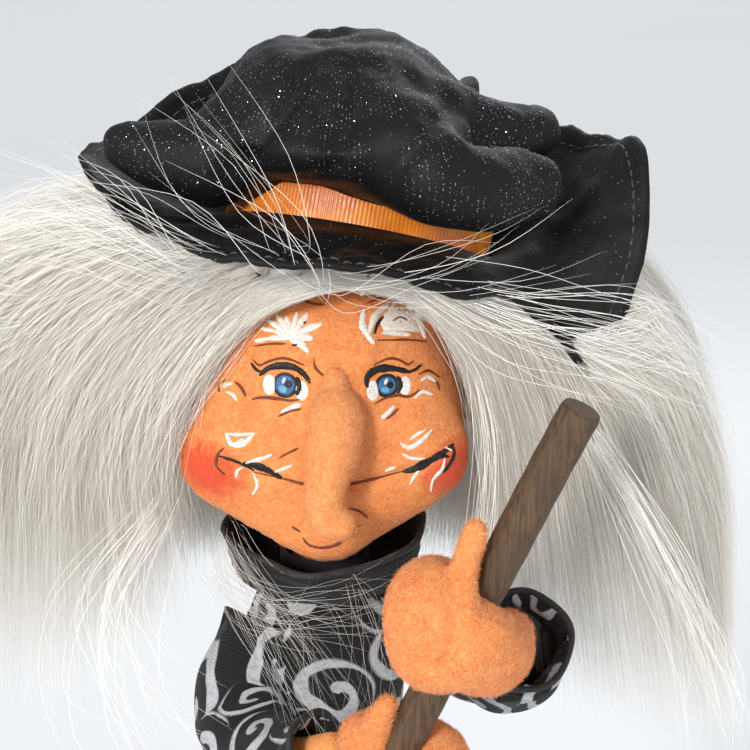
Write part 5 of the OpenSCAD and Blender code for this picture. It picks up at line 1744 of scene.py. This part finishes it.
def build_legs():
    """Knitted stockings and felt boots with a stitched sole edge."""
    knit = stocking("stocking_knit", rgb(222, 104, 22), rgb(16, 16, 19))
    boot = felt("boot_felt", rgb(46, 44, 50), rgb(20, 19, 23), sheen=0.4).material
    thread = plain("boot_thread", rgb(214, 112, 30), rough=0.6)
    for side in ("right", "left"):
        low, high = node_box(side + "_leg")
        middle = (low + high) / 2
        rows, columns = 260, 72
        z = np.linspace(low[2], high[2], rows)
        radius = (high[0] - low[0]) / 2 - 0.4
        path = np.column_stack([np.full(rows, middle[0]), np.full(rows, middle[1]), z])
        angle = around(columns)
        rib = 0.3 * np.cos(angle * 24)[None, :]
        slack = 0.5 * np.sin(z[:, None] * 0.55 + 1.6 * np.sin(angle)) * bell(z[:, None] - low[2] - 14, 16)
        points, faces = tube(path, radius + rib + slack, columns)
        add_piece(side + "_stocking", points, faces, "base", knit, [side + "_leg"])
        shoe = soften(side + "_shoe", side + "_boot", voxel=1.0, smoothing=6)
        shape = read_points(shoe)
        rise = shape[:, 2] - BASE_TOP
        lumps = 0.25 * ripple(shape, 8, side + " boot lumps") * (rise > 1)
        push(shoe, lumps - 0.5 * bell(rise - SOLE_T, 0.7))
        place(shoe, "base", boot, [side + "_shoe"])
        sole_line(shoe, side, BASE_TOP + SOLE_T + 1, thread)
        fibre = plain(side + "_boot_fibre", rgb(70, 68, 76), rough=0.9)
        fuzz(side + "_boot_fuzz", shoe, "base", [fibre], 16000, 1.0)


def sole_line(shoe, side, height, thread):
    """A running stitch round the shoe at one height."""
    points = read_points(shoe)
    normals = read_normals(shoe)
    ring = np.abs(points[:, 2] - height) < 0.6
    points, normals = points[ring], normals[ring]
    middle = points.mean(axis=0)
    turn = np.arctan2(points[:, 1] - middle[1], points[:, 0] - middle[0])
    slots = np.linspace(-math.pi, math.pi, 97)
    path, out = [], []
    for low, high in zip(slots[:-1], slots[1:]):
        inside = (turn >= low) & (turn < high)
        if inside.any():
            far = np.argmax(np.linalg.norm((points[inside] - middle)[:, :2], axis=1))
            path.append(points[inside][far])
            out.append(normals[inside][far])
    path = np.array(path)
    path[:, 2] = height
    add_stitches(side + "_sole_stitches", path, np.array(out), thread, "base", pitch=3.2)


FINISHES = {
    "shell": ["base_shell", "switch_body", "gearbox"],
    "plate": ["base_plate", "battery_box", "battery_door"],
    "knob": ["switch_knob"],
    "rubber": ["rubber_feet"],
    "steel": ["plate_screws", "drive_screws", "flange_screws", "shoe_screws", "output_shaft", "torso_spindle",
              "head_spindle", "leg_wires", "arm_wires", "bearing_bracket", "drive_motor"],
    "brass": ["battery_contacts", "spindle_bushes"],
    "gear": ["body_pinion", "head_pinion", "body_gear", "head_gear", "spindle_liners", "support_tube"],
    "board": ["control_board"],
    "wire": ["lead_wires"],
    "cells": ["batteries"],
    "timber": ["hip_block", "torso_hub", "shoulder_bar"],
    "cork": ["head_former"],
    "skin": ["neck"],
    "cover": ["base_cover"],
}


def finish_frame():
    """Procedural materials for the CAD nodes that stay in view."""
    looks = {
        "shell": moulded("shell_plastic", rgb(34, 33, 36), rgb(18, 18, 20), rough=0.38),
        "plate": moulded("plate_plastic", rgb(40, 39, 43), rgb(24, 23, 26), rough=0.55),
        "knob": moulded("knob_plastic", rgb(214, 96, 24), rgb(186, 74, 14), rough=0.4),
        "rubber": moulded("foot_rubber", rgb(48, 47, 48), rgb(28, 28, 29), rough=0.9, grain=0.4),
        "steel": metal("plated_steel", rgb(214, 214, 216), rgb(158, 160, 164)),
        "brass": metal("brass", rgb(222, 186, 110), rgb(170, 132, 62)),
        "gear": moulded("gear_nylon", rgb(232, 228, 214), rgb(206, 200, 182), rough=0.5),
        "board": circuit(),
        "wire": moulded("wire_sleeve", rgb(180, 30, 24), rgb(140, 20, 18), rough=0.45),
        "cells": metal("cell_jacket", rgb(176, 120, 60), rgb(60, 58, 58), rough=0.4),
        "timber": wood("timber", rgb(214, 180, 132), rgb(170, 130, 84)),
        "cork": wood("former_foam", rgb(240, 232, 214), rgb(216, 204, 180)),
        "skin": felt("neck_felt", *SKIN).material,
        "cover": felt("cover_felt", rgb(214, 98, 34), rgb(168, 66, 20), sheen=0.5).material,
    }
    for look, nodes in FINISHES.items():
        for node in nodes:
            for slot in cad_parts[node].material_slots:
                slot.link = "OBJECT"
                slot.material = looks[look]
    fibres = [plain("cover_fibre_light", rgb(228, 120, 52), rough=0.9),
              plain("cover_fibre_dark", rgb(176, 70, 22), rough=0.9)]
    fuzz("cover_fuzz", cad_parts["base_cover"], "base", fibres, 42000, 1.2,
         keep=lambda points, normals: normals[:, 2] > 0.9)


# ---------- the set ----------


def build_floor():
    """A wide pale floor, which is also the backdrop."""
    reach, steps = 6000, 24
    line = np.linspace(-reach, reach, steps)
    points = grid_points(line[:, None], line, 0.0).reshape(-1, 3)
    floor = make_object("floor", make_mesh("floor", points, grid_faces(steps, steps)))
    pale = Shade("pale_floor", rough=0.9)
    pale.colour(pale.mix(pale.noise(400, 2), rgb(226, 228, 230), rgb(232, 234, 236)))
    floor.data.materials.append(pale.material)


def build_light():
    """Soft daylight: an even sky, a sun from the viewer's upper left, and two weak lamps."""
    scene = bpy.context.scene
    scene.view_settings.view_transform = "Standard"
    world = bpy.data.worlds.new("daylight")
    scene.world = world
    world.use_nodes = True
    sky = world.node_tree.nodes["Background"]
    sky.inputs["Color"].default_value = (*rgb(232, 235, 239), 1)
    sky.inputs["Strength"].default_value = 0.74
    sun = bpy.data.lights.new("sun", "SUN")
    sun.energy = 2.45
    sun.angle = math.radians(14)
    sun.color = (1.0, 0.965, 0.91)
    lamps = [(sun, (-540, -980, 840))]
    for name, place_at, size, power, colour in [
        ("fill", (900, -700, 500), 900, 2.2, (0.86, 0.93, 1.0)),
        ("back", (300, 900, 900), 700, 3.5, (0.95, 0.97, 1.0)),
    ]:
        lamp = bpy.data.lights.new(name, "AREA")
        lamp.size = size * MM
        lamp.energy = power
        lamp.color = colour
        lamps.append((lamp, place_at))
    for lamp, place_at in lamps:
        obj = bpy.data.objects.new(lamp.name, lamp)
        scene.collection.objects.link(obj)
        obj.location = Vector(place_at) * MM
        aim = Vector((0, 0, 330)) * MM - obj.location
        obj.rotation_euler = aim.to_track_quat("-Z", "Y").to_euler()


def build_camera():
    """A long lens near the face, looking slightly down."""
    camera = bpy.data.cameras.new("camera")
    camera.sensor_width = 36
    camera.lens = 96
    view = bpy.data.objects.new("camera", camera)
    bpy.context.scene.collection.objects.link(view)
    elevation, distance = math.radians(20), 500
    target = HEAD_C + [13, 0, 11.6]     # just beside the nose's root
    back = np.array([0, -math.cos(elevation), math.sin(elevation)])
    view.location = Vector(target + back * distance) * MM
    view.rotation_euler = Vector(-back).to_track_quat("-Z", "Y").to_euler()
    bpy.context.scene.camera = view


build_floor()
build_light()
build_camera()
finish_frame()
build_head()
build_wig()
build_hat()
build_dress()
build_hands()
build_broom()
build_legs()
